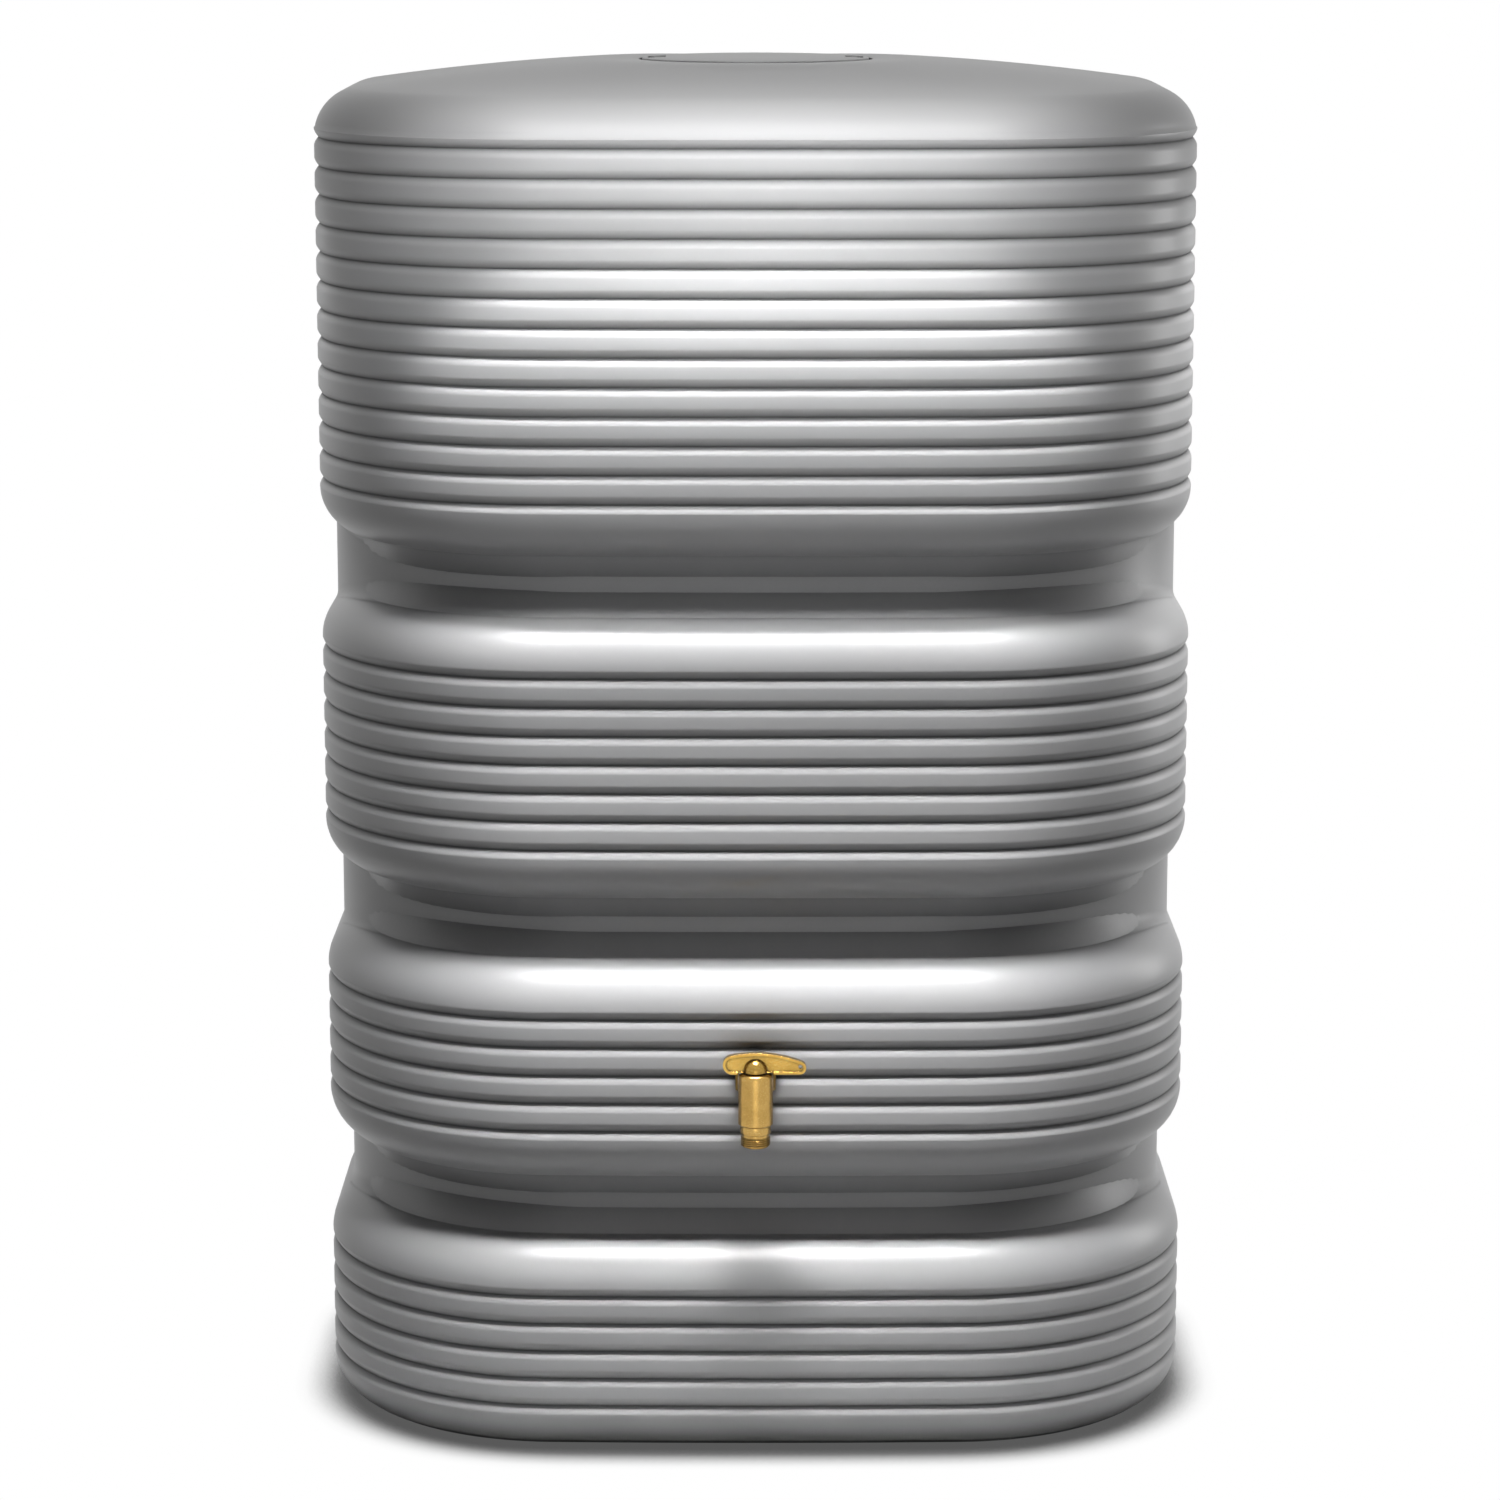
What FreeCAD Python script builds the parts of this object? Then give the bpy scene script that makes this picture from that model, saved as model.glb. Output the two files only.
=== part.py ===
import FreeCAD, Part
import math
import os

import Sketcher

# Slimline rainwater tank: a rotomoulded shell in four ribbed bands with three waist channels,
# a flush screw lid, and a brass quarter-turn angle tap in the second band from the ground.
# Origin: centre of the base on the ground. +X is the width, -Y the front, +Z up. Millimetres.

os.makedirs("parts", exist_ok=True)
doc = FreeCAD.newDocument("slimline_water_tank")
sheet = doc.addObject("Spreadsheet::Sheet", "Sizes")

SIZES = {
    # plan outline of the ribbed bands, over the crests of the ribs
    "tank_width": 800,
    "tank_depth": 600,
    "corner_radius": 218,
    # ribs: V grooves on one even pitch, left out across each channel
    "base_groove_height": 45.5,
    "groove_pitch": 25.75,
    "groove_mouth": 14,
    "groove_depth": 4,
    "grooves_in_band_1": 5,
    "grooves_in_band_2": 5,
    "grooves_in_band_3": 7,
    "grooves_in_band_4": 13,
    "channel_pitches": 6,
    # rounded band ends
    "band_end_drop": 50.5,
    "shoulder_radius": 43,
    "base_edge_radius": 40,
    "top_shoulder_radius": 45,
    "crown_rise": 22.5,
    # waist channels: shallow at the sides, deep at the front and back
    "side_recess_1": 15,
    "side_recess_2": 9,
    "side_recess_3": 8.5,
    "front_recess": 50,
    "channel_corner_radius": 238,
    # wall, measured behind the bottoms of the grooves and behind the channels
    "wall": 5,
    "floor_wall": 7,
    "inner_bevel": 23,
    # filling neck, sunk in a moat so that the lid lies flush with the crown
    "neck_diameter": 184,
    "neck_wall": 6,
    "neck_below_plateau": 6,
    "moat_width": 15.5,
    "moat_depth": 26,
    "moat_wall": 6,
    "plateau_width": 14.5,
    # screw lid and its flat gasket
    "lid_rim_gap": 3,
    "lid_clearance": 1,
    "lid_skirt_depth": 20,
    "lid_crown": 4,
    "lid_rim_width": 12.5,
    "lid_slope_width": 40,
    "lid_slope_drop": 2,
    "lid_rim_drop": 5,
    "gasket_thickness": 3,
    "grip_inset": 5.5,
    "grip_length": 16,
    "grip_width": 34,
    "grip_depth": 1.2,
    # tap: where it sits, and how far its outlet stands out from the wall
    "tap_height": 357,
    "tap_reach": 48,
    # wall insert for the tap, moulded into a round boss of the shell
    "boss_diameter": 41,
    "boss_length": 27,
    "insert_diameter": 31,
    "insert_collar_diameter": 35,
    "insert_collar_from": 8,
    "insert_collar_length": 8,
    "insert_length": 22,
    "thread_diameter": 26.4,
    "thread_clearance": 0.1,
    # flat seal between the tap and the wall
    "seal_diameter": 34,
    "seal_thickness": 2.5,
    # tap body
    "hex_across_flats": 36,
    "hex_thickness": 11,
    "hex_bevel": 2,
    "nipple_length": 18,
    "barrel_diameter": 24,
    "barrel_bore": 12,
    "nipple_bore": 16,
    "nipple_bore_depth": 26,
    "body_diameter": 31,
    "body_above_axis": 14.5,
    "body_below_axis": 32.5,
    "body_top_radius": 3.5,
    "body_foot_bevel": 1,
    # ball with an L-shaped bore, and its two seats
    "ball_diameter": 18,
    "ball_bore": 9,
    "ball_slot_width": 4.2,
    "ball_slot_depth": 2.6,
    "seat_clearance": 0.05,
    "chamber_diameter": 18.6,
    "seat_back": 12,
    "seat_front": 6.6,
    "inlet_seat_diameter": 12.8,
    # stem with its collar, thrust washer and O-ring
    "stem_diameter": 8,
    "stem_collar_diameter": 11,
    "stem_collar_thickness": 1.2,
    "stem_running_clearance": 0.05,
    "tang_clearance": 0.1,
    "washer_thickness": 0.8,
    "o_ring_section": 1.2,
    "o_ring_groove_width": 1.5,
    "o_ring_height": 13,
    "ring_slack": 0.02,
    "stem_square": 5.6,
    "stem_square_from": 16.5,
    "stem_top": 24,
    # outlet nozzle, screwed into the foot of the tap body
    "nozzle_thread_diameter": 23,
    "nozzle_thread_length": 18,
    "nozzle_spigot_gap": 0.2,
    "nozzle_collar_diameter": 27.2,
    "nozzle_collar_length": 7.5,
    "nozzle_relief_diameter": 24.4,
    "nozzle_relief_length": 3,
    "hose_thread_length": 9.5,
    "hose_thread_bevel": 1.8,
    "nozzle_bore": 18,
    "nozzle_bore_depth": 26,
    "nozzle_ring_section": 1.5,
    "nozzle_ring_from_end": 2.5,
    # handle: an upright wing plate with a raised rim, on a domed hub
    "wing_bottom": 13.6,
    "wing_thickness": 7,
    "wing_web": 3.6,
    "wing_rim": 2.6,
    "long_arm": 38.8,
    "long_end_radius": 6,
    "short_arm": 20.4,
    "short_end_radius": 8.6,
    "wing_bow_radius": 110,
    "hub_diameter": 21,
    "hub_bottom": 15.5,
    "hub_side": 1.7,
    "hub_swing_clearance": 0.8,
    "end_hole_diameter": 3.2,
    "square_clearance": 0.1,
    "socket_depth_clearance": 0.4,
    "screw_diameter": 4,
    "screw_height": 21,
    "screw_inset": 1,
    "screw_socket": 2,
    "screw_socket_depth": 2,
}

for row, (alias, value) in enumerate(SIZES.items(), start=1):
    sheet.set(f"A{row}", alias)
    sheet.set(f"B{row}", str(value))
    sheet.setAlias(f"B{row}", alias)
doc.recompute()

V = FreeCAD.Vector


def cell(name):
    return f"Sizes.{name}"


def number(expression):
    """Value in millimetres of an expression on the sheet."""
    value = sheet.evalExpression(expression)
    return float(getattr(value, "Value", value))


# Expressions for heights and half sizes that several pieces share.

HALF_WIDTH = "Sizes.tank_width / 2"
HALF_DEPTH = "Sizes.tank_depth / 2"
BANDS = 4


def groove_number(band):
    """How many pitches the lowest groove of a band lies above the lowest groove of the tank."""
    terms = [f"Sizes.grooves_in_band_{i} - 1 + Sizes.channel_pitches" for i in range(1, band)]
    return " + ".join(terms) if terms else "0"


def first_groove(band):
    return f"(Sizes.base_groove_height + Sizes.groove_pitch * ({groove_number(band)}))"


def last_groove(band):
    return f"({first_groove(band)} + Sizes.groove_pitch * (Sizes.grooves_in_band_{band} - 1))"


def band_bottom(band):
    return "0" if band == 1 else f"({first_groove(band)} - Sizes.band_end_drop)"


def band_top(band):
    if band == BANDS:
        return f"({last_groove(band)} + Sizes.top_shoulder_radius)"
    return f"({last_groove(band)} + Sizes.band_end_drop)"


PLATEAU = f"({band_top(BANDS)} + Sizes.crown_rise)"
CAVITY_INSET = "(Sizes.groove_depth + Sizes.wall)"

# Radii about the neck, each from the neck's own diameter.

NECK_RADIUS = "(Sizes.neck_diameter / 2)"
BORE_RADIUS = f"({NECK_RADIUS} - Sizes.neck_wall)"
MOAT_RADIUS = f"({NECK_RADIUS} + Sizes.moat_width)"
PLATEAU_RADIUS = f"({MOAT_RADIUS} + Sizes.plateau_width)"
LID_RADIUS = f"({MOAT_RADIUS} - Sizes.lid_rim_gap)"


# Helpers: bodies, sketches with every vertex bound to the sheet, and plain features.

def origin_feature(body, role):
    return next(f for f in body.Origin.OriginFeatures if f.Role == role)


def new_body(label, x="0", y="0", z="0"):
    body = doc.addObject("PartDesign::Body", label)
    body.Label = label
    for axis, expression in (("x", x), ("y", y), ("z", z)):
        if expression != "0":
            body.setExpression(f"Placement.Base.{axis}", expression)
    doc.recompute()
    return body


def new_sketch(body, name, plane="XY_Plane", offset="0"):
    sketch = body.newObject("Sketcher::SketchObject", name)
    sketch.AttachmentSupport = [(origin_feature(body, plane), "")]
    sketch.MapMode = "FlatFace"
    if offset != "0":
        sketch.setExpression("AttachmentOffset.Base.z", offset)
    return sketch


def bind(sketch, constraint, expression):
    index = sketch.addConstraint(constraint)
    sketch.setExpression(f"Constraints[{index}]", expression)


def place_point(sketch, geometry, vertex, x, y):
    """Fix a vertex by its signed distances from the sketch origin."""
    for kind, expression, axis in (("DistanceX", x, -2), ("DistanceY", y, -1)):
        if expression == "0":
            sketch.addConstraint(Sketcher.Constraint("PointOnObject", geometry, vertex, axis))
        else:
            value = number(expression)
            bind(sketch, Sketcher.Constraint(kind, -1, 1, geometry, vertex, value), expression)


def arc_between(start, end, radius, side):
    """Arc shorter than half a turn from start to end; side is 1 for a centre on the left of the chord."""
    chord = end.sub(start)
    reach = math.sqrt(max(radius ** 2 - (chord.Length / 2) ** 2, 0))
    left = V(-chord.y, chord.x, 0).normalize()
    centre = start + chord * 0.5 + left * (reach * side)
    first = math.atan2(start.y - centre.y, start.x - centre.x)
    last = math.atan2(end.y - centre.y, end.x - centre.x)
    if side < 0:
        first, last = last, first
    if last < first:
        last += 2 * math.pi
    return Part.ArcOfCircle(Part.Circle(centre, V(0, 0, 1), radius), first, last)


def outline(sketch, nodes):
    """Closed outline. A node is (x, y), or (x, y, radius, side) when an arc leaves it."""
    points = [V(number(n[0]), number(n[1]), 0) for n in nodes]
    ends = []
    for i, node in enumerate(nodes):
        start, end = points[i], points[(i + 1) % len(nodes)]
        if len(node) == 2:
            index = sketch.addGeometry(Part.LineSegment(start, end), False)
            ends.append((index, 1, 2))
        else:
            index = sketch.addGeometry(arc_between(start, end, number(node[2]), node[3]), False)
            ends.append((index, 1, 2) if node[3] > 0 else (index, 2, 1))
    for i, node in enumerate(nodes):
        index, start_vertex, end_vertex = ends[i]
        following = ends[(i + 1) % len(nodes)]
        sketch.addConstraint(
            Sketcher.Constraint("Coincident", index, end_vertex, following[0], following[1]))
        place_point(sketch, index, start_vertex, node[0], node[1])
        if len(node) > 2:
            bind(sketch, Sketcher.Constraint("Radius", index, number(node[2])), node[2])
    return sketch


def rounded_rectangle(sketch, half_x, half_y, radius):
    """Rounded rectangle centred on the sketch origin, fixed by its width, its depth and one radius."""
    a, b, r = number(half_x), number(half_y), number(radius)
    cx, cy = a - r, b - r
    quarter = math.pi / 2
    corners = ((cx, -cy, -quarter), (cx, cy, 0), (-cx, cy, quarter), (-cx, -cy, 2 * quarter))
    sides = (
        (V(-cx, -b, 0), V(cx, -b, 0)),
        (V(a, -cy, 0), V(a, cy, 0)),
        (V(cx, b, 0), V(-cx, b, 0)),
        (V(-a, cy, 0), V(-a, -cy, 0)),
    )
    for (start, end), (x, y, angle) in zip(sides, corners):
        sketch.addGeometry(Part.LineSegment(start, end), False)
        circle = Part.Circle(V(x, y, 0), V(0, 0, 1), r)
        sketch.addGeometry(Part.ArcOfCircle(circle, angle, angle + quarter), False)
    rule = Sketcher.Constraint
    sketch.addConstraint([rule("Tangent", i, 2, (i + 1) % 8, 1) for i in range(8)])
    sketch.addConstraint([rule("Horizontal", 0), rule("Horizontal", 4)])
    sketch.addConstraint([rule("Vertical", 2), rule("Vertical", 6)])
    sketch.addConstraint([rule("Equal", 1, i) for i in (3, 5, 7)])
    sketch.addConstraint(rule("Symmetric", 1, 3, 5, 3, -1, 1))
    bind(sketch, rule("Radius", 1, r), radius)
    bind(sketch, rule("DistanceX", 6, 1, 2, 1, 2 * a), f"2 * ({half_x})")
    bind(sketch, rule("DistanceY", 0, 1, 4, 1, 2 * b), f"2 * ({half_y})")
    return sketch


def circle_sketch(sketch, radius, x="0", y="0"):
    centre = V(number(x), number(y), 0)
    index = sketch.addGeometry(Part.Circle(centre, V(0, 0, 1), number(radius)), False)
    bind(sketch, Sketcher.Constraint("Radius", index, number(radius)), radius)
    place_point(sketch, index, 3, x, y)
    return sketch


def pad(body, name, sketch, length, midplane=False):
    feature = body.newObject("PartDesign::Pad", name)
    feature.Profile = sketch
    feature.setExpression("Length", length)
    feature.Midplane = midplane
    doc.recompute()
    return feature


def pocket(body, name, sketch, length, reversed_side=False, midplane=False):
    feature = body.newObject("PartDesign::Pocket", name)
    feature.Profile = sketch
    feature.Reversed = reversed_side
    feature.Midplane = midplane
    feature.setExpression("Length", length)
    doc.recompute()
    return feature


def turn(body, name, sketch, kind="Revolution", axis="V_Axis"):
    """Full turn of a half profile about an axis of its sketch."""
    feature = body.newObject(f"PartDesign::{kind}", name)
    feature.Profile = sketch
    feature.ReferenceAxis = (sketch, [axis])
    feature.Angle = 360
    doc.recompute()
    return feature


def edges_at(shape, heights, level_only=True):
    """Names of the edges that lie level at one of the given heights."""
    names = []
    for i, edge in enumerate(shape.Edges, start=1):
        box = edge.BoundBox
        level = box.ZLength < 1e-6
        if level == level_only and any(abs(box.ZMin - h) < 1e-4 for h in heights):
            names.append(f"Edge{i}")
    return names


def dress(body, kind, name, base, names, size):
    """Fillet or chamfer on named edges of a feature."""
    feature = body.newObject(f"PartDesign::{kind}", name)
    feature.Base = (base, names)
    feature.setExpression("Radius" if kind == "Fillet" else "Size", size)
    doc.recompute()
    return feature


# Tank shell, outer form: four bands, filleted, joined by narrower channel cores, under a crown.

def band_outline(body, name, height, inset="0"):
    sketch = new_sketch(body, name, offset=height)
    return rounded_rectangle(
        sketch, f"{HALF_WIDTH} - {inset}", f"{HALF_DEPTH} - {inset}",
        f"Sizes.corner_radius - {inset}")


def add_bands(body, inset, floor, ceiling):
    """Pads of all four bands; floor and ceiling are how far their ends stay inside the outer ones."""
    for band in range(1, BANDS + 1):
        low = floor if band == 1 else ceiling
        bottom = f"{band_bottom(band)} + {low}"
        top = f"{band_top(band)} - {ceiling}"
        sketch = band_outline(body, f"{body.Name}_band_outline_{band}", bottom, inset)
        last = pad(body, f"{body.Name}_band_{band}", sketch, f"{top} - ({bottom})")
    return last


def add_cores(body, inset):
    """Channel cores, each reaching from the middle of one band to the middle of the next."""
    for channel in range(1, BANDS):
        middle = [f"({first_groove(b)} + {last_groove(b)}) / 2" for b in (channel, channel + 1)]
        sketch = new_sketch(body, f"{body.Name}_core_outline_{channel}", offset=middle[0])
        rounded_rectangle(
            sketch, f"{HALF_WIDTH} - Sizes.side_recess_{channel} - {inset}",
            f"{HALF_DEPTH} - Sizes.front_recess - {inset}",
            f"Sizes.channel_corner_radius - {inset}")
        pad(body, f"{body.Name}_core_{channel}", sketch, f"{middle[1]} - {middle[0]}")


def add_crown(body, base_inset, base_height, top_height, top_radius, ruled=False):
    """Low pillow from the band outline up to a round plateau."""
    middle_height = f"({base_height}) + (({top_height}) - ({base_height})) * 0.56"
    low = band_outline(body, f"{body.Name}_crown_low", base_height, base_inset)
    middle = new_sketch(body, f"{body.Name}_crown_middle", offset=middle_height)
    reach_x = f"(({HALF_WIDTH} - {base_inset}) * 0.52 + {top_radius} * 0.48)"
    reach_y = f"(({HALF_DEPTH} - {base_inset}) * 0.52 + {top_radius} * 0.48)"
    rounded_rectangle(
        middle, reach_x, reach_y,
        f"((Sizes.corner_radius - {base_inset}) * 0.52 + {top_radius} * 0.47)")
    high = new_sketch(body, f"{body.Name}_crown_high", offset=top_height)
    rounded_rectangle(high, top_radius, top_radius, f"{top_radius} * 0.98")
    loft = body.newObject("PartDesign::AdditiveLoft", f"{body.Name}_crown")
    loft.Profile = low
    loft.Sections = [middle, high]
    loft.Ruled = ruled
    doc.recompute()
    return loft


def add_grooves(body, band):
    """One V groove swept round the band, repeated up the band at the groove pitch."""
    height = first_groove(band)
    path = band_outline(body, f"groove_path_{band}", height)
    start = f"{HALF_DEPTH} - Sizes.corner_radius"
    profile = new_sketch(body, f"groove_profile_{band}", "XZ_Plane", start)
    lip = "Sizes.groove_mouth / 2 * 1.25"
    outline(profile, [
        (f"{HALF_WIDTH} + Sizes.groove_depth / 4", f"{height} - {lip}"),
        (f"{HALF_WIDTH} + Sizes.groove_depth / 4", f"{height} + {lip}"),
        (f"{HALF_WIDTH} - Sizes.groove_depth", height),
    ])
    doc.recompute()
    groove = body.newObject("PartDesign::SubtractivePipe", f"groove_{band}")
    groove.Profile = profile
    groove.Spine = (path, [f"Edge{i}" for i in range(1, 9)])
    doc.recompute()
    rows = body.newObject("PartDesign::LinearPattern", f"grooves_{band}")
    rows.Originals = [groove]
    rows.Direction = (origin_feature(body, "Z_Axis"), [""])
    rows.setExpression("Length", f"Sizes.groove_pitch * (Sizes.grooves_in_band_{band} - 1)")
    rows.setExpression("Occurrences", f"Sizes.grooves_in_band_{band}")
    body.Tip = rows
    doc.recompute()


def outer_form():
    body = new_body("outer_form")
    last = add_bands(body, "0", "0", "0")
    inner_ends = [band_bottom(b) for b in range(2, BANDS + 1)] + [band_top(b) for b in range(1, BANDS)]
    names = edges_at(last.Shape, [number(e) for e in inner_ends])
    last = dress(body, "Fillet", "shoulders", last, names, cell("shoulder_radius"))
    names = edges_at(last.Shape, [0])
    last = dress(body, "Fillet", "base_edge", last, names, cell("base_edge_radius"))
    names = edges_at(last.Shape, [number(band_top(BANDS))])
    dress(body, "Fillet", "top_shoulder", last, names, cell("top_shoulder_radius"))
    add_crown(body, cell("top_shoulder_radius"), band_top(BANDS), PLATEAU, PLATEAU_RADIUS)
    add_cores(body, "0")
    for band in range(1, BANDS + 1):
        add_grooves(body, band)
    return body


def cavity_form():
    """The space inside: the same bands and cores, a wall thickness further in, with bevelled ends."""
    body = new_body("cavity_form")
    last = add_bands(body, CAVITY_INSET, cell("floor_wall"), cell("wall"))
    levels = [number(f"{band_bottom(b)} + Sizes.wall") for b in range(2, BANDS + 1)]
    levels += [number(f"{band_top(b)} - Sizes.wall") for b in range(1, BANDS + 1)]
    levels.append(number(cell("floor_wall")))
    names = edges_at(last.Shape, levels)
    dress(body, "Chamfer", "inner_bevels", last, names, cell("inner_bevel"))
    add_cores(body, cell("wall"))
    add_crown(
        body, f"({CAVITY_INSET} + Sizes.inner_bevel)", f"({band_top(BANDS)} - Sizes.wall)",
        f"({PLATEAU} - Sizes.wall)", PLATEAU_RADIUS, ruled=True)
    return body


def fittings():
    """Material added inside the wall: the sunk neck's ring under the crown and the tap's boss."""
    body = new_body("fittings")
    ring_bottom = f"{PLATEAU} - Sizes.moat_depth - Sizes.moat_wall"
    sketch = new_sketch(body, "neck_ring_outline", offset=ring_bottom)
    circle_sketch(sketch, f"{MOAT_RADIUS} + Sizes.moat_wall")
    pad(body, "neck_ring", sketch, "Sizes.moat_depth + Sizes.moat_wall")
    sketch = new_sketch(body, "boss_outline", "XZ_Plane", f"{HALF_DEPTH} - Sizes.boss_length")
    circle_sketch(sketch, "Sizes.boss_diameter / 2", y=cell("tap_height"))
    pad(body, "boss", sketch, cell("boss_length"))
    return body


def insert_profile(sketch, bore):
    """Half section of the wall insert along its axis; x runs out from the axis, y from the face inward."""
    wide = "Sizes.insert_collar_diameter / 2"
    narrow = "Sizes.insert_diameter / 2"
    collar_end = "Sizes.insert_collar_from + Sizes.insert_collar_length"
    return outline(sketch, [
        (bore, "0"),
        (narrow, "0"),
        (narrow, cell("insert_collar_from")),
        (wide, cell("insert_collar_from")),
        (wide, collar_end),
        (narrow, collar_end),
        (narrow, cell("insert_length")),
        (bore, cell("insert_length")),
    ])


def openings():
    """Space cut through the wall: the neck's bore, the moat round it and the seat of the insert."""
    body = new_body("openings")
    sketch = new_sketch(body, "neck_section", "XZ_Plane")
    deep = f"{PLATEAU} - Sizes.moat_depth - Sizes.moat_wall - 1"
    high = f"{PLATEAU} + 1"
    outline(sketch, [
        ("0", deep),
        (BORE_RADIUS, deep),
        (BORE_RADIUS, f"{PLATEAU} - Sizes.neck_below_plateau"),
        (NECK_RADIUS, f"{PLATEAU} - Sizes.neck_below_plateau"),
        (NECK_RADIUS, f"{PLATEAU} - Sizes.moat_depth"),
        (MOAT_RADIUS, f"{PLATEAU} - Sizes.moat_depth"),
        (MOAT_RADIUS, high),
        ("0", high),
    ])
    turn(body, "neck_space", sketch)
    return body


def insert_seat():
    body = new_body("insert_seat", y=f"-({HALF_DEPTH})", z=cell("tap_height"))
    solid = insert_profile(new_sketch(body, "insert_seat_section"), "0.01")
    turn(body, "insert_space", solid)
    sketch = new_sketch(body, "insert_way", "XZ_Plane", f"-({cell('boss_length')} + 1)")
    circle_sketch(sketch, "Sizes.insert_diameter / 2")
    pad(body, "way_through", sketch, "Sizes.boss_length + 1")
    return body


def boolean(kind, label, shapes):
    feature = doc.addObject(f"Part::{kind}", label)
    feature.Label = label
    if kind == "Cut":
        feature.Base, feature.Tool = shapes
    else:
        feature.Shapes = list(shapes)
    doc.recompute()
    return feature


def tank_shell():
    hollow = boolean("Cut", "hollow_form", (outer_form(), cavity_form()))
    joined = boolean("MultiFuse", "form_with_fittings", (hollow, fittings()))
    space = boolean("MultiFuse", "all_openings", (openings(), insert_seat()))
    return boolean("Cut", "tank_shell", (joined, space))


# Lid: a shallow disc with a flat middle and a sloping ring, a plain skirt round the neck, two grips.

NECK_TOP = f"({PLATEAU} - Sizes.neck_below_plateau)"


def lid_gasket():
    body = new_body("lid_gasket", z=NECK_TOP)
    sketch = new_sketch(body, "gasket_section", "XZ_Plane")
    thick = cell("gasket_thickness")
    outline(sketch, [(BORE_RADIUS, "0"), (NECK_RADIUS, "0"), (NECK_RADIUS, thick), (BORE_RADIUS, thick)])
    turn(body, "gasket_ring", sketch)
    return body


def screw_lid():
    body = new_body("screw_lid", z=f"{NECK_TOP} + Sizes.gasket_thickness")
    sketch = new_sketch(body, "lid_section", "XZ_Plane")
    skirt = f"{NECK_RADIUS} + Sizes.lid_clearance"
    slope_edge = f"{LID_RADIUS} - Sizes.lid_rim_width"
    top = cell("lid_crown")
    slope = "Sizes.lid_crown - Sizes.lid_slope_drop"
    rim_top = "Sizes.lid_crown - Sizes.lid_rim_drop"
    outline(sketch, [
        ("0", "0"),
        (skirt, "0"),
        (skirt, "-Sizes.lid_skirt_depth"),
        (LID_RADIUS, "-Sizes.lid_skirt_depth"),
        (LID_RADIUS, rim_top),
        (slope_edge, slope),
        (f"{slope_edge} - Sizes.lid_slope_width", top),
        ("0", top),
    ])
    turn(body, "lid_disc", sketch)
    sketch = new_sketch(body, "grip_outline", offset=top)
    half = "Sizes.grip_width / 2"
    far = f"{LID_RADIUS} - Sizes.grip_inset"
    near = f"{far} - Sizes.grip_length"
    outline(sketch, [(near, f"-{half}"), (far, f"-{half}"), (far, half), (near, half)])
    grip = pocket(body, "grip", sketch, "Sizes.lid_slope_drop + Sizes.grip_depth")
    grips = body.newObject("PartDesign::PolarPattern", "grips")
    grips.Originals = [grip]
    grips.Axis = (origin_feature(body, "Z_Axis"), [""])
    grips.Angle = 360
    grips.Occurrences = 2
    body.Tip = grips
    doc.recompute()
    return body


# Tap. Its pieces share one frame: the vertical axis of the outlet crosses the inlet axis at its origin.
# Local +Y points at the tank wall, which lies tap_reach away.

TAP_PLACE = {"y": f"-({HALF_DEPTH}) - Sizes.tap_reach", "z": cell("tap_height")}
HEX_BACK = "(Sizes.tap_reach - Sizes.seal_thickness)"
HEX_FRONT = f"({HEX_BACK} - Sizes.hex_thickness)"
ROOF = ("(Sizes.ball_diameter / 2 + Sizes.seat_clearance * 4 + Sizes.stem_collar_thickness"
        " + Sizes.washer_thickness + 2 * Sizes.stem_running_clearance)")


def inlet_section(body, name):
    """Sketch for turned forms on the inlet axis: x runs out from the axis, y towards the tank."""
    return new_sketch(body, name, "XY_Plane")


def tap_insert():
    body = new_body("tap_insert", y=f"-({HALF_DEPTH})", z=cell("tap_height"))
    bore = "Sizes.thread_diameter / 2 + Sizes.thread_clearance / 2"
    sketch = insert_profile(inlet_section(body, "insert_section"), bore)
    turn(body, "insert_bush", sketch)
    return body


def tap_seal():
    body = new_body("tap_seal", **TAP_PLACE)
    sketch = inlet_section(body, "seal_section")
    inner = "Sizes.thread_diameter / 2 + Sizes.thread_clearance / 2"
    outer = "Sizes.seal_diameter / 2"
    outline(sketch, [(inner, HEX_BACK), (outer, HEX_BACK), (outer, cell("tap_reach")),
                     (inner, cell("tap_reach"))])
    turn(body, "seal_ring", sketch)
    return body


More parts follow.
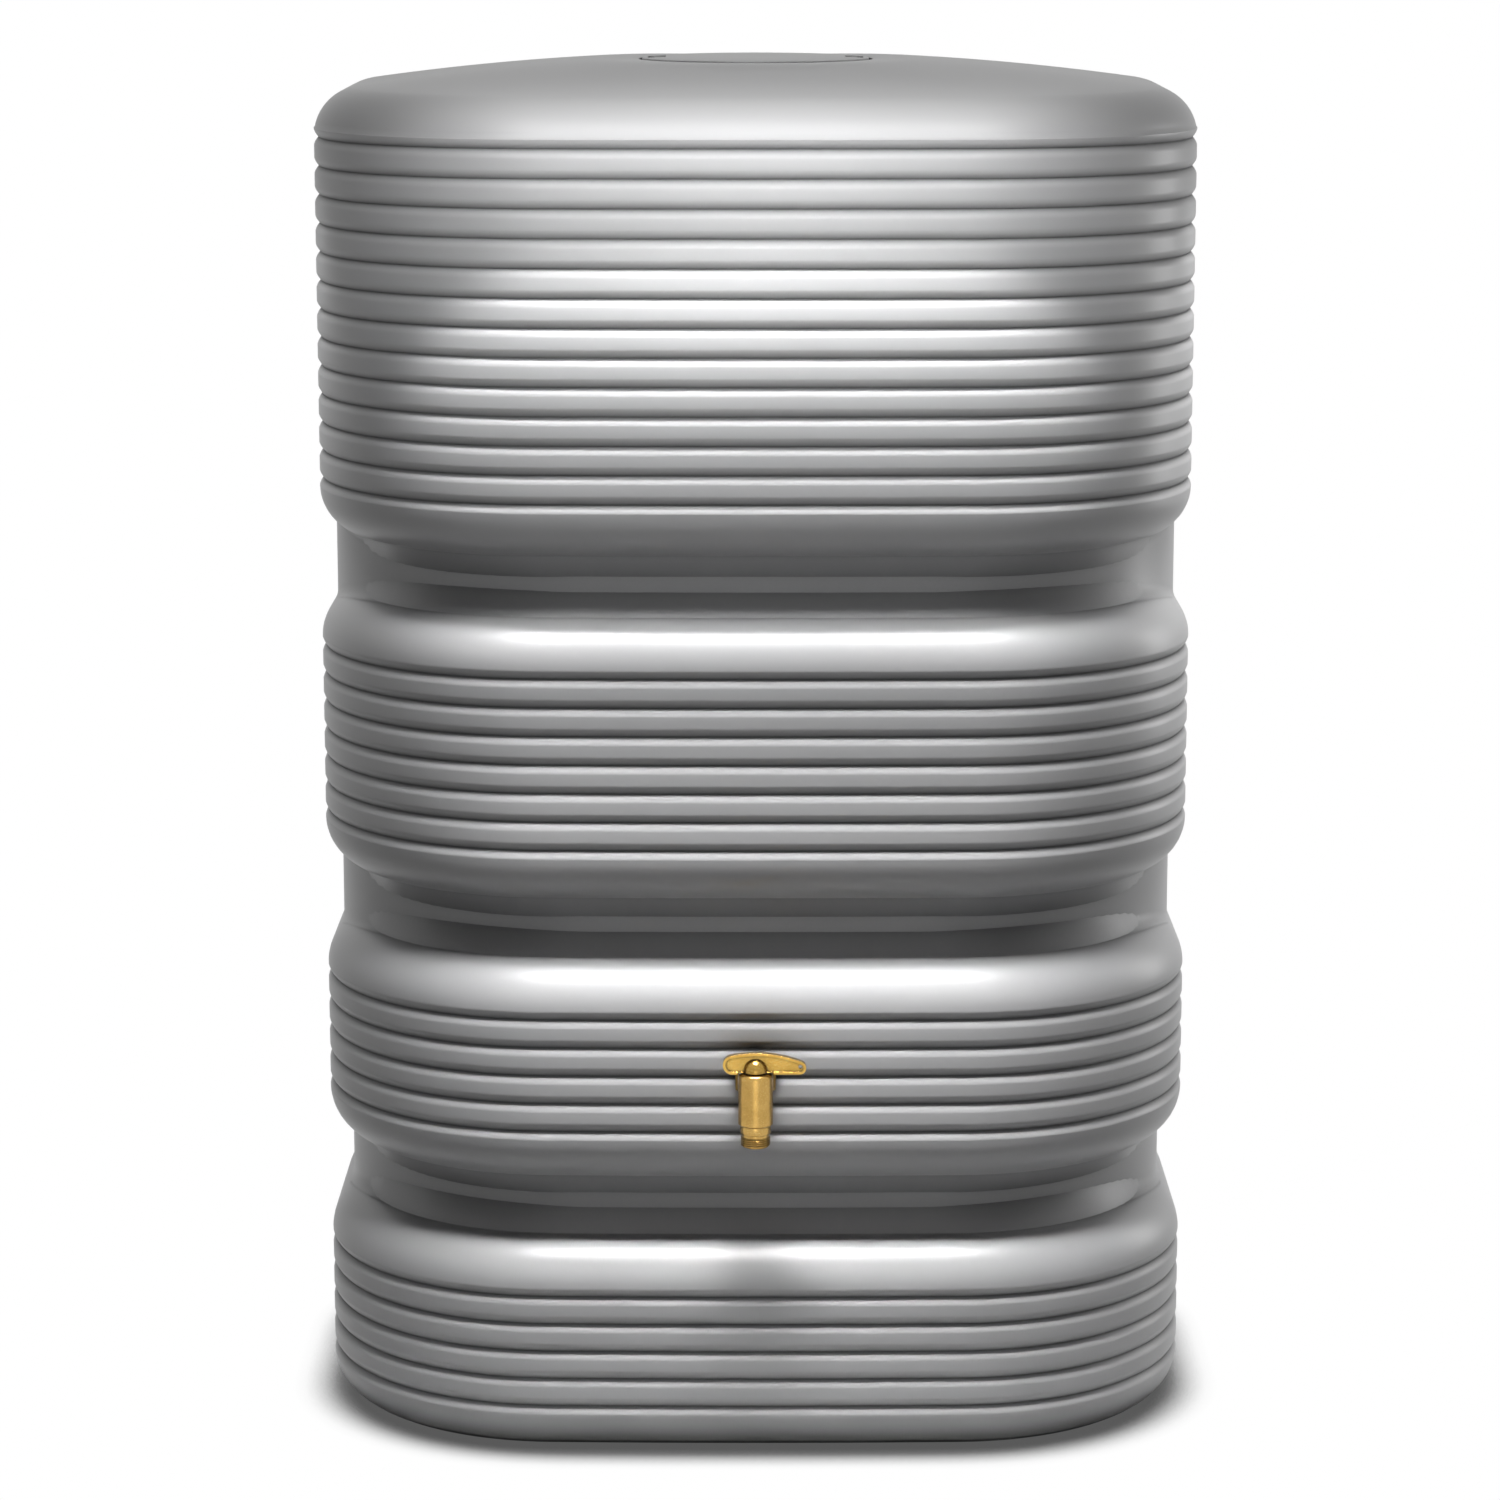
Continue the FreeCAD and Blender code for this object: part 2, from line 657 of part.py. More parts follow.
def tap_body():
    body = new_body("tap_body", **TAP_PLACE)
    nipple_end = "Sizes.tap_reach + Sizes.nipple_length"
    foot = "Sizes.body_below_axis"
    # upright cylinder
    sketch = new_sketch(body, "upright_outline", offset=f"-{foot}")
    circle_sketch(sketch, "Sizes.body_diameter / 2")
    upright = pad(body, "upright", sketch, f"{foot} + Sizes.body_above_axis")
    names = edges_at(upright.Shape, [number(cell("body_above_axis"))])
    rounded = dress(body, "Fillet", "top_round", upright, names, cell("body_top_radius"))
    names = edges_at(rounded.Shape, [-number(foot)])
    dress(body, "Chamfer", "foot_bevel", rounded, names, cell("body_foot_bevel"))
    # barrel and threaded nipple on the inlet axis
    sketch = inlet_section(body, "barrel_section")
    barrel, nipple = "Sizes.barrel_diameter / 2", "Sizes.thread_diameter / 2"
    bevel = "Sizes.hose_thread_bevel"
    outline(sketch, [
        ("0", "0"), (barrel, "0"), (barrel, HEX_BACK), (nipple, HEX_BACK),
        (nipple, f"{nipple_end} - {bevel}"), (f"{nipple} - {bevel}", nipple_end), ("0", nipple_end)])
    turn(body, "barrel", sketch)
    # spanner hexagon with two flats upright, its outer corners bevelled by a cone
    sketch = new_sketch(body, "hex_outline", "XZ_Plane", f"-{HEX_BACK}")
    flat = "Sizes.hex_across_flats / 2"
    side = f"({flat} / cos(30 deg) / 2)"
    corner = f"({flat} / cos(30 deg))"
    outline(sketch, [
        (flat, f"-{side}"), (flat, side), ("0", corner), (f"-{flat}", side), (f"-{flat}", f"-{side}"),
        ("0", f"-{corner}")])
    pad(body, "hexagon", sketch, cell("hex_thickness"))
    sketch = inlet_section(body, "hex_bevel_section")
    outline(sketch, [
        (flat, HEX_FRONT), (f"{corner} + 1", HEX_FRONT),
        (f"{corner} + 1", f"{HEX_FRONT} + (({corner}) + 1 - ({flat})) * tan(30 deg)")])
    turn(body, "hex_bevel_cut", sketch, "Groove")
    # ways for the water, the chamber and the seat pockets
    sketch = inlet_section(body, "inlet_way_section")
    seat = "Sizes.inlet_seat_diameter / 2 + Sizes.seat_clearance"
    way = "Sizes.barrel_bore / 2"
    wide = "Sizes.nipple_bore / 2"
    outline(sketch, [
        ("0", "0"), (seat, "0"), (seat, cell("seat_back")), (way, cell("seat_back")),
        (way, f"{nipple_end} - Sizes.nipple_bore_depth"),
        (wide, f"{nipple_end} - Sizes.nipple_bore_depth"), (wide, f"{nipple_end} + 1"),
        ("0", f"{nipple_end} + 1")])
    turn(body, "inlet_way", sketch, "Groove")
    sketch = new_sketch(body, "chamber_section", "XZ_Plane")
    stem_hole = "Sizes.stem_diameter / 2 + Sizes.stem_running_clearance"
    thread = "Sizes.nozzle_thread_diameter / 2 + Sizes.thread_clearance / 2"
    chamber = "Sizes.chamber_diameter / 2"
    step = f"-{foot} + Sizes.nozzle_thread_length"
    outline(sketch, [
        ("0", f"-{foot} - 1"), (thread, f"-{foot} - 1"), (thread, step), (chamber, step),
        (chamber, ROOF), (stem_hole, ROOF), (stem_hole, "Sizes.body_above_axis + 1"),
        ("0", "Sizes.body_above_axis + 1")])
    turn(body, "chamber", sketch, "Groove")
    return body


def tap_ball():
    """Ball with an L-shaped bore: one way down, one to the side, and a slot for the stem on top."""
    radius = "Sizes.ball_diameter / 2"
    sphere = doc.addObject("Part::Sphere", "ball_sphere")
    sphere.setExpression("Radius", radius)
    down = doc.addObject("Part::Cylinder", "ball_way_down")
    side = doc.addObject("Part::Cylinder", "ball_way_side")
    for way in (down, side):
        way.setExpression("Radius", "Sizes.ball_bore / 2")
        way.setExpression("Height", f"{radius} + 1")
    down.Placement.Rotation = FreeCAD.Rotation(V(1, 0, 0), 180)
    side.Placement.Rotation = FreeCAD.Rotation(V(0, 1, 0), -90)
    elbow = doc.addObject("Part::Sphere", "ball_elbow")
    elbow.setExpression("Radius", "Sizes.ball_bore / 2")
    slot = doc.addObject("Part::Box", "ball_slot")
    slot.setExpression("Length", "Sizes.ball_diameter")
    slot.setExpression("Width", cell("ball_slot_width"))
    slot.setExpression("Height", cell("ball_slot_depth"))
    slot.setExpression("Placement.Base.x", f"-{radius}")
    slot.setExpression("Placement.Base.y", "-Sizes.ball_slot_width / 2")
    slot.setExpression("Placement.Base.z", f"{radius} - Sizes.ball_slot_depth")
    ways = boolean("MultiFuse", "ball_ways", (down, side, elbow, slot))
    ball = boolean("Cut", "tap_ball", (sphere, ways))
    place_in_tap(ball)
    return ball


def place_in_tap(feature):
    for axis, expression in TAP_PLACE.items():
        feature.setExpression(f"Placement.Base.{axis}", expression)
    doc.recompute()


def seat_ring(label, outer_radius, towards_tank):
    """Ring between two faces, hollowed on its inner side by the ball."""
    body = new_body(label, **TAP_PLACE)
    bore = "Sizes.ball_bore / 2"
    ball = "(Sizes.ball_diameter / 2 + Sizes.seat_clearance)"
    inner_touch = f"sqrt({ball}^2 - ({bore})^2)"
    rim = f"sqrt({ball}^2 - Sizes.seat_front^2)"
    back, front = cell("seat_back"), cell("seat_front")
    if towards_tank:
        sketch = inlet_section(body, f"{label}_section")
        sign = ""
        side = 1
    else:
        sketch = new_sketch(body, f"{label}_section", "XZ_Plane")
        sign = "-"
        side = -1
    outline(sketch, [
        (outer_radius, f"{sign}{front}"), (outer_radius, f"{sign}{back}"), (bore, f"{sign}{back}"),
        (bore, f"{sign}{inner_touch}", ball, -side), (rim, f"{sign}{front}")])
    turn(body, f"{label}_ring", sketch)
    return body


def inlet_seat():
    return seat_ring("inlet_seat", "Sizes.inlet_seat_diameter / 2", True)


def outlet_seat():
    return seat_ring("outlet_seat", "Sizes.chamber_diameter / 2 - Sizes.seat_clearance", False)


COLLAR_BOTTOM = "(Sizes.ball_diameter / 2 + Sizes.seat_clearance * 4)"
COLLAR_TOP = f"({COLLAR_BOTTOM} + Sizes.stem_collar_thickness)"


def tap_stem():
    body = new_body("tap_stem", **TAP_PLACE)
    sketch = new_sketch(body, "stem_section", "XZ_Plane")
    shank = "Sizes.stem_diameter / 2"
    collar = "Sizes.stem_collar_diameter / 2"
    groove = "Sizes.stem_diameter / 2 + Sizes.stem_running_clearance - Sizes.o_ring_section"
    low = "Sizes.o_ring_height - Sizes.o_ring_groove_width / 2"
    high = "Sizes.o_ring_height + Sizes.o_ring_groove_width / 2"
    outline(sketch, [
        ("0", COLLAR_BOTTOM), (collar, COLLAR_BOTTOM), (collar, COLLAR_TOP), (shank, COLLAR_TOP),
        (shank, low), (groove, low), (groove, high), (shank, high), (shank, cell("stem_square_from")),
        ("0", cell("stem_square_from"))])
    turn(body, "stem_shank", sketch)
    half = "Sizes.stem_square / 2"
    sketch = new_sketch(body, "square_outline", offset=cell("stem_square_from"))
    outline(sketch, [(f"-{half}", f"-{half}"), (half, f"-{half}"), (half, half), (f"-{half}", half)])
    pad(body, "square", sketch, "Sizes.stem_top - Sizes.stem_square_from")
    tang_bottom = "(Sizes.ball_diameter / 2 - Sizes.ball_slot_depth + Sizes.tang_clearance)"
    sketch = new_sketch(body, "tang_outline", offset=tang_bottom)
    across = "(Sizes.ball_slot_width / 2 - Sizes.tang_clearance)"
    along = "(Sizes.stem_collar_diameter / 2 - 1)"
    outline(sketch, [
        (f"-{along}", f"-{across}"), (along, f"-{across}"), (along, across), (f"-{along}", across)])
    pad(body, "tang", sketch, f"{COLLAR_BOTTOM} - {tang_bottom}")
    return body


def thrust_washer():
    body = new_body("thrust_washer", **TAP_PLACE)
    sketch = new_sketch(body, "washer_section", "XZ_Plane")
    inner = "Sizes.stem_diameter / 2 + Sizes.stem_running_clearance"
    outer = "Sizes.stem_collar_diameter / 2"
    low = f"{COLLAR_TOP} + Sizes.stem_running_clearance"
    high = f"{COLLAR_TOP} + Sizes.stem_running_clearance + Sizes.washer_thickness"
    outline(sketch, [(inner, low), (outer, low), (outer, high), (inner, high)])
    turn(body, "washer_ring", sketch)
    return body


def ring_of_rubber(label, outer, section, height):
    """Rubber ring about the upright axis of the tap, pressed flat between its groove and its bore."""
    body = new_body(label, **TAP_PLACE)
    sketch = new_sketch(body, f"{label}_section", "XZ_Plane")
    half = f"({section} / 2 - Sizes.ring_slack)"
    middle = f"({outer} - {section} / 2)"
    flat = f"{half} * 0.55"
    outline(sketch, [
        (f"{middle} - {half}", f"{height} - {flat}"),
        (middle, f"{height} - {half}"),
        (f"{middle} + {half}", f"{height} - {flat}"),
        (f"{middle} + {half}", f"{height} + {flat}"),
        (middle, f"{height} + {half}"),
        (f"{middle} - {half}", f"{height} + {flat}"),
    ])
    turn(body, f"{label}_round", sketch)
    return body


def stem_o_ring():
    bore = "(Sizes.stem_diameter / 2 + Sizes.stem_running_clearance)"
    return ring_of_rubber("stem_o_ring", bore, cell("o_ring_section"), cell("o_ring_height"))


NOZZLE_RING_HEIGHT = "(-Sizes.body_below_axis + Sizes.nozzle_thread_length - Sizes.nozzle_ring_from_end)"


def outlet_nozzle():
    """Sleeve that holds the lower seat, with a collar and a hose thread below the body."""
    body = new_body("outlet_nozzle", **TAP_PLACE)
    sketch = new_sketch(body, "nozzle_section", "XZ_Plane")
    foot = "-Sizes.body_below_axis"
    spigot = "Sizes.chamber_diameter / 2 - Sizes.seat_clearance"
    thread = "Sizes.nozzle_thread_diameter / 2"
    groove = f"{thread} - Sizes.nozzle_ring_section + Sizes.thread_clearance / 2"
    ring_half = "Sizes.nozzle_ring_section / 2 + 0.1"
    step = f"{foot} + Sizes.nozzle_thread_length - Sizes.nozzle_spigot_gap"
    collar = "Sizes.nozzle_collar_diameter / 2"
    relief = "Sizes.nozzle_relief_diameter / 2"
    hose = "Sizes.thread_diameter / 2"
    z_collar = f"{foot} - Sizes.nozzle_collar_length"
    z_relief = f"{z_collar} - Sizes.nozzle_relief_length"
    z_end = f"{z_relief} - Sizes.hose_thread_length"
    bevel = "Sizes.hose_thread_bevel"
    way = "Sizes.ball_bore / 2"
    wide = "Sizes.nozzle_bore / 2"
    z_wide = f"{z_end} + Sizes.nozzle_bore_depth"
    outline(sketch, [
        (way, "-Sizes.seat_back"), (spigot, "-Sizes.seat_back"), (spigot, step), (thread, step),
        (thread, f"{NOZZLE_RING_HEIGHT} + {ring_half}"), (groove, f"{NOZZLE_RING_HEIGHT} + {ring_half}"),
        (groove, f"{NOZZLE_RING_HEIGHT} - ({ring_half})"),
        (thread, f"{NOZZLE_RING_HEIGHT} - ({ring_half})"), (thread, foot),
        (collar, foot), (collar, z_collar), (relief, z_collar), (relief, z_relief), (hose, z_relief),
        (hose, f"{z_end} + {bevel}"), (f"{hose} - {bevel}", z_end), (wide, z_end), (wide, z_wide),
        (way, f"{z_wide} + ({wide} - {way})")])
    turn(body, "nozzle_sleeve", sketch)
    return body


def nozzle_o_ring():
    thread = "(Sizes.nozzle_thread_diameter / 2 + Sizes.thread_clearance / 2)"
    return ring_of_rubber("nozzle_o_ring", thread, cell("nozzle_ring_section"), NOZZLE_RING_HEIGHT)


def wing_outline(sketch, inset):
    """Side view of the wing plate: straight foot, two round ends of different size, bowed top."""
    short_end = f"(Sizes.short_end_radius - {inset})"
    long_end = f"(Sizes.long_end_radius - {inset})"
    foot = f"(Sizes.wing_bottom + {inset})"
    short_centre = "(Sizes.wing_bottom + Sizes.short_end_radius)"
    long_centre = "(Sizes.wing_bottom + Sizes.long_end_radius)"
    return outline(sketch, [
        ("-Sizes.short_arm", foot),
        (cell("long_arm"), foot, long_end, 1),
        (f"Sizes.long_arm + {long_end} * cos(60 deg)", f"{long_centre} + {long_end} * sin(60 deg)",
         f"Sizes.wing_bow_radius - {inset}", 1),
        (f"-Sizes.short_arm - {short_end} * cos(70 deg)", f"{short_centre} + {short_end} * sin(70 deg)",
         short_end, 1),
    ])


def tap_handle():
    body = new_body("tap_handle", **TAP_PLACE)
    sketch = wing_outline(new_sketch(body, "wing_outline", "XZ_Plane"), "0")
    pad(body, "wing_plate", sketch, cell("wing_thickness"), midplane=True)
    recess = "(Sizes.wing_thickness - Sizes.wing_web) / 2"
    face = "Sizes.wing_thickness / 2"
    sketch = new_sketch(body, "front_recess_outline", "XZ_Plane", face)
    wing_outline(sketch, cell("wing_rim"))
    pocket(body, "front_recess", sketch, recess)
    sketch = new_sketch(body, "back_recess_outline", "XZ_Plane", f"-({face})")
    wing_outline(sketch, cell("wing_rim"))
    pocket(body, "back_recess", sketch, recess, reversed_side=True)
    # hub: a short cylinder under a dome
    hub = "Sizes.hub_diameter / 2"
    side_top = "Sizes.hub_bottom + Sizes.hub_side"
    sketch = new_sketch(body, "hub_section", "XZ_Plane")
    outline(sketch, [
        ("0", cell("hub_bottom")), (hub, cell("hub_bottom")), (hub, side_top, hub, 1),
        ("0", f"{side_top} + {hub}")])
    turn(body, "hub", sketch)
    # the plate's foot stays clear of the top of the tap body
    sketch = new_sketch(body, "foot_relief_outline", offset="Sizes.wing_bottom - 1")
    circle_sketch(sketch, "Sizes.body_diameter / 2 + Sizes.hub_swing_clearance")
    pocket(body, "foot_relief", sketch, "Sizes.hub_bottom - Sizes.wing_bottom + 1", reversed_side=True)
    # socket for the square of the stem
    sketch = new_sketch(body, "socket_outline", offset="Sizes.hub_bottom - 1")
    half = "(Sizes.stem_square / 2 + Sizes.square_clearance / 2)"
    outline(sketch, [(f"-{half}", f"-{half}"), (half, f"-{half}"), (half, half), (f"-{half}", half)])
    pocket(body, "square_socket", sketch,
           "Sizes.stem_top + Sizes.socket_depth_clearance - Sizes.hub_bottom + 1", reversed_side=True)
    sketch = new_sketch(body, "shank_relief_outline", offset="Sizes.hub_bottom - 1")
    circle_sketch(sketch, "Sizes.stem_diameter / 2 + Sizes.square_clearance / 2")
    pocket(body, "shank_relief", sketch,
           "Sizes.stem_square_from + Sizes.square_clearance - Sizes.hub_bottom + 1", reversed_side=True)
    # eye at the end of the long arm, and the tapped hole for the set screw at the back of the hub
    sketch = new_sketch(body, "eye_outline", "XZ_Plane")
    circle_sketch(sketch, "Sizes.end_hole_diameter / 2", "Sizes.long_arm + 0.8",
                  "Sizes.wing_bottom + Sizes.long_end_radius + 0.8")
    pocket(body, "eye", sketch, "Sizes.wing_thickness + 2", midplane=True)
    sketch = new_sketch(body, "screw_hole_outline", "XZ_Plane", f"-({hub} + 1)")
    circle_sketch(sketch, "Sizes.screw_diameter / 2", y=cell("screw_height"))
    pocket(body, "screw_hole", sketch, f"{hub} + 1 - Sizes.stem_square / 2", reversed_side=True)
    return body


def handle_screw():
    """Set screw from the back of the hub against a flat of the stem."""
    body = new_body("handle_screw", **TAP_PLACE)
    outer_end = "Sizes.hub_diameter / 2 - Sizes.screw_inset"
    sketch = new_sketch(body, "screw_outline", "XZ_Plane", f"-({outer_end})")
    circle_sketch(sketch, "Sizes.screw_diameter / 2 - Sizes.stem_running_clearance",
                  y=cell("screw_height"))
    length = f"{outer_end} - Sizes.stem_square / 2 - Sizes.stem_running_clearance"
    pad(body, "screw", sketch, length)
    sketch = new_sketch(body, "screw_socket_outline", "XZ_Plane", f"-({outer_end})")
    circle_sketch(sketch, "Sizes.screw_socket / 2", y=cell("screw_height"))
    pocket(body, "screw_socket_cut", sketch, cell("screw_socket_depth"), reversed_side=True)
    return body


PIECES = [
    tank_shell, lid_gasket, screw_lid, tap_insert, tap_seal, tap_body, inlet_seat, outlet_seat,
    tap_ball, tap_stem, thrust_washer, stem_o_ring, outlet_nozzle, nozzle_o_ring, tap_handle,
    handle_screw,
]

pieces = [make() for make in PIECES]
doc.recompute()

for item in doc.Objects:
    if any(word in item.State for word in ("Invalid", "Error")):
        raise RuntimeError(f"{item.Name} did not build: {item.State}")
for piece in pieces:
    if piece.Shape.isNull() or not piece.Shape.isValid():
        raise RuntimeError(f"{piece.Label} has no valid shape")
    piece.Shape.exportStep(f"parts/{piece.Label}.step")
    print(f"{piece.Label}: {len(piece.Shape.Solids)} solid, {piece.Shape.Volume / 1000:.2f} cm3")
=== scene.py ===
import math

import bpy
import numpy as np
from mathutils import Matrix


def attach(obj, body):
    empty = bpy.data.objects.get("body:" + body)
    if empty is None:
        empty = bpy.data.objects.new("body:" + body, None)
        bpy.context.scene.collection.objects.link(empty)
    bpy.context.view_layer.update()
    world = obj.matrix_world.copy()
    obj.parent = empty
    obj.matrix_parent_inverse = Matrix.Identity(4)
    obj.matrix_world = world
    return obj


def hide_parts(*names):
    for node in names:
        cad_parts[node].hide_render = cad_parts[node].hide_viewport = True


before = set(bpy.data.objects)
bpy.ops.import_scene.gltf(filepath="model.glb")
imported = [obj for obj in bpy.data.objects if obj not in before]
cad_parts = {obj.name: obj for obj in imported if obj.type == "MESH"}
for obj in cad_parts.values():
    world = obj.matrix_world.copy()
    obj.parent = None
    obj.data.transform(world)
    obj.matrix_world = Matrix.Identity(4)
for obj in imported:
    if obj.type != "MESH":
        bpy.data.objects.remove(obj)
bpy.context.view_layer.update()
print("stage: frame loaded")

scene = bpy.context.scene
scene.view_settings.view_transform = "Standard"


# camera and its frame, fitted to the photograph

cameraSettings = {
    "y": -4.266, "z": 1.4135, "pitchDegrees": 10.86, "lens": 109.9, "sensor": 36, "shiftX": -0.0037,
}

cameraData = bpy.data.cameras.new("photoCamera")
cameraData.lens = cameraSettings["lens"]
cameraData.sensor_width = cameraSettings["sensor"]
cameraData.shift_x = cameraSettings["shiftX"]
camera = bpy.data.objects.new("photoCamera", cameraData)
camera.location = (0, cameraSettings["y"], cameraSettings["z"])
camera.rotation_euler = (math.radians(90 - cameraSettings["pitchDegrees"]), 0, 0)
scene.collection.objects.link(camera)
scene.camera = camera


# helpers: meshes from arrays, node trees

def meshObject(name, points, faces, body, sharpDegrees=40):
    mesh = bpy.data.meshes.new(name)
    mesh.from_pydata(points.tolist(), [], faces)
    mesh.polygons.foreach_set("use_smooth", np.ones(len(mesh.polygons), bool))
    mesh.set_sharp_from_angle(angle=math.radians(sharpDegrees))
    mesh.update()
    piece = bpy.data.objects.new(name, mesh)
    scene.collection.objects.link(piece)
    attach(piece, body)
    return piece


# quads of a grid whose columns run round and whose rows run along the profile; where it is joined,
# the last row meets the first, as a pipe's does
def gridFaces(rows, columns, joined=False):
    a, b = np.meshgrid(np.arange(rows if joined else rows - 1), np.arange(columns), indexing="ij")
    nextRow, nextColumn = (a + 1) % rows, (b + 1) % columns
    quads = np.stack([
        a * columns + b, a * columns + nextColumn,
        nextRow * columns + nextColumn, nextRow * columns + b], axis=-1)
    return quads.reshape(-1, 4).tolist()


# surface of revolution from rows (r, h), each a value or one value per column: (r cos t, r sin t, h)
def turned(rows, sides):
    turn = np.linspace(0, 2 * np.pi, sides, endpoint=False)
    r = np.stack([row[0] + np.zeros(sides) for row in rows])
    h = np.stack([row[1] + np.zeros(sides) for row in rows])
    return np.stack([r * np.cos(turn), r * np.sin(turn), h], axis=-1)


# grid of a turned piece whose first and last rows are closed by one flat face each
def closedFaces(rows, sides):
    last = (rows - 1) * sides
    return gridFaces(rows, sides) + [list(range(sides))[::-1], list(range(last, last + sides))]


# right-handed screw thread of rounded teeth: height 0 to 1 of the tooth at angle t and height h,
# from the share v of a pitch that lies between h / pitch and t / (2 pi)
def toothAt(h, turn, pitch, steepness=1.6, rootShare=0.3):
    v = (h / pitch - turn / (2 * np.pi)) % 1
    return np.clip(steepness * (1 - np.abs(2 * v - 1)) - rootShare, 0, 1)


# smooth step from 0 to 1 between two values: 3 s^2 - 2 s^3 of the share s that lies between them
def smoothStep(x, low, high):
    share = np.clip((x - low) / (high - low), 0, 1)
    return share * share * (3 - 2 * share)


def node(tree, kind, **values):
    made = tree.nodes.new(kind)
    for key, value in values.items():
        if hasattr(made, key):
            setattr(made, key, value)
        else:
            made.inputs[key.replace("_", " ")].default_value = value
    return made


def link(tree, source, target):
    tree.links.new(source, target)


def newMaterial(name, **values):
    material = bpy.data.materials.new(name)
    material.use_nodes = True
    shader = material.node_tree.nodes["Principled BSDF"]
    for key, value in values.items():
        shader.inputs[key].default_value = value
    return material, material.node_tree, shader


# an empty node group of float sockets, with its two ends and the object's coordinates
def newGroup(name, inputs, outputs):
    group = bpy.data.node_groups.new(name, "ShaderNodeTree")
    for direction, sockets in (("INPUT", inputs), ("OUTPUT", outputs)):
        for socket in sockets:
            group.interface.new_socket(socket, in_out=direction, socket_type="NodeSocketFloat")
    inlet, outlet = group.nodes.new("NodeGroupInput"), group.nodes.new("NodeGroupOutput")
    return group, inlet, outlet, group.nodes.new("ShaderNodeTexCoord").outputs["Object"]


# a Math node of two sources
def combine(tree, operation, first, second):
    both = node(tree, "ShaderNodeMath", operation=operation)
    link(tree, first, both.inputs[0])
    link(tree, second, both.inputs[1])
    return both.outputs[0]


# a value moved from one range to another
def remap(tree, source, low, high, toLow, toHigh):
    change = node(tree, "ShaderNodeMapRange")
    for socket, value in (("From Min", low), ("From Max", high), ("To Min", toLow), ("To Max", toHigh)):
        change.inputs[socket].default_value = value
    link(tree, source, change.inputs["Value"])
    return change.outputs["Result"]


# colour inputs 6 and 7 and colour output 2 are the Mix node's own numbers for them
def mixColours(tree, factor, first, second):
    mix = node(tree, "ShaderNodeMix", data_type="RGBA")
    mix.inputs[6].default_value = (*first, 1)
    mix.inputs[7].default_value = (*second, 1)
    link(tree, factor, mix.inputs["Factor"])
    return mix.outputs[2]


def scaled(tree, colour, factor):
    product = node(tree, "ShaderNodeVectorMath", operation="SCALE")
    link(tree, colour, product.inputs[0])
    link(tree, factor, product.inputs["Scale"])
    return product.outputs[0]


# 1 on an open surface, less in a hollow narrower than the reach
def opennessOf(tree, reach, samples=6):
    hollow = node(tree, "ShaderNodeAmbientOcclusion", samples=samples)
    hollow.inputs["Distance"].default_value = reach
    return hollow.outputs["AO"]


# node group: moulded grain, a fine pebble with a finer one over it, as a height and a mask, and a slow
# drift as a second mask
def mouldedGrainGroup(finerBy=3.1, finerShare=0.4):
    group, inlet, outlet, place = newGroup(
        "mouldedGrain", ("Fine Scale", "Slow Scale"), ("Height", "Speckle", "Drift"))
    pebble = node(group, "ShaderNodeTexNoise", Detail=3.0, Roughness=0.55)
    fine = node(group, "ShaderNodeTexNoise", Detail=2.0, Roughness=0.6)
    slow = node(group, "ShaderNodeTexNoise", Detail=3.0, Roughness=0.5)
    for texture in (pebble, fine, slow):
        link(group, place, texture.inputs["Vector"])
    fineScale = node(group, "ShaderNodeMath", operation="MULTIPLY")
    fineScale.inputs[1].default_value = finerBy
    link(group, inlet.outputs["Fine Scale"], pebble.inputs["Scale"])
    link(group, inlet.outputs["Fine Scale"], fineScale.inputs[0])
    link(group, fineScale.outputs[0], fine.inputs["Scale"])
    link(group, inlet.outputs["Slow Scale"], slow.inputs["Scale"])
    height = node(group, "ShaderNodeMath", operation="MULTIPLY_ADD")
    height.inputs[1].default_value = finerShare
    link(group, fine.outputs["Fac"], height.inputs[0])
    link(group, pebble.outputs["Fac"], height.inputs[2])
    link(group, height.outputs[0], outlet.inputs["Height"])
    link(group, fine.outputs["Fac"], outlet.inputs["Speckle"])
    link(group, slow.outputs["Fac"], outlet.inputs["Drift"])
    return group


mouldedGrain = mouldedGrainGroup()


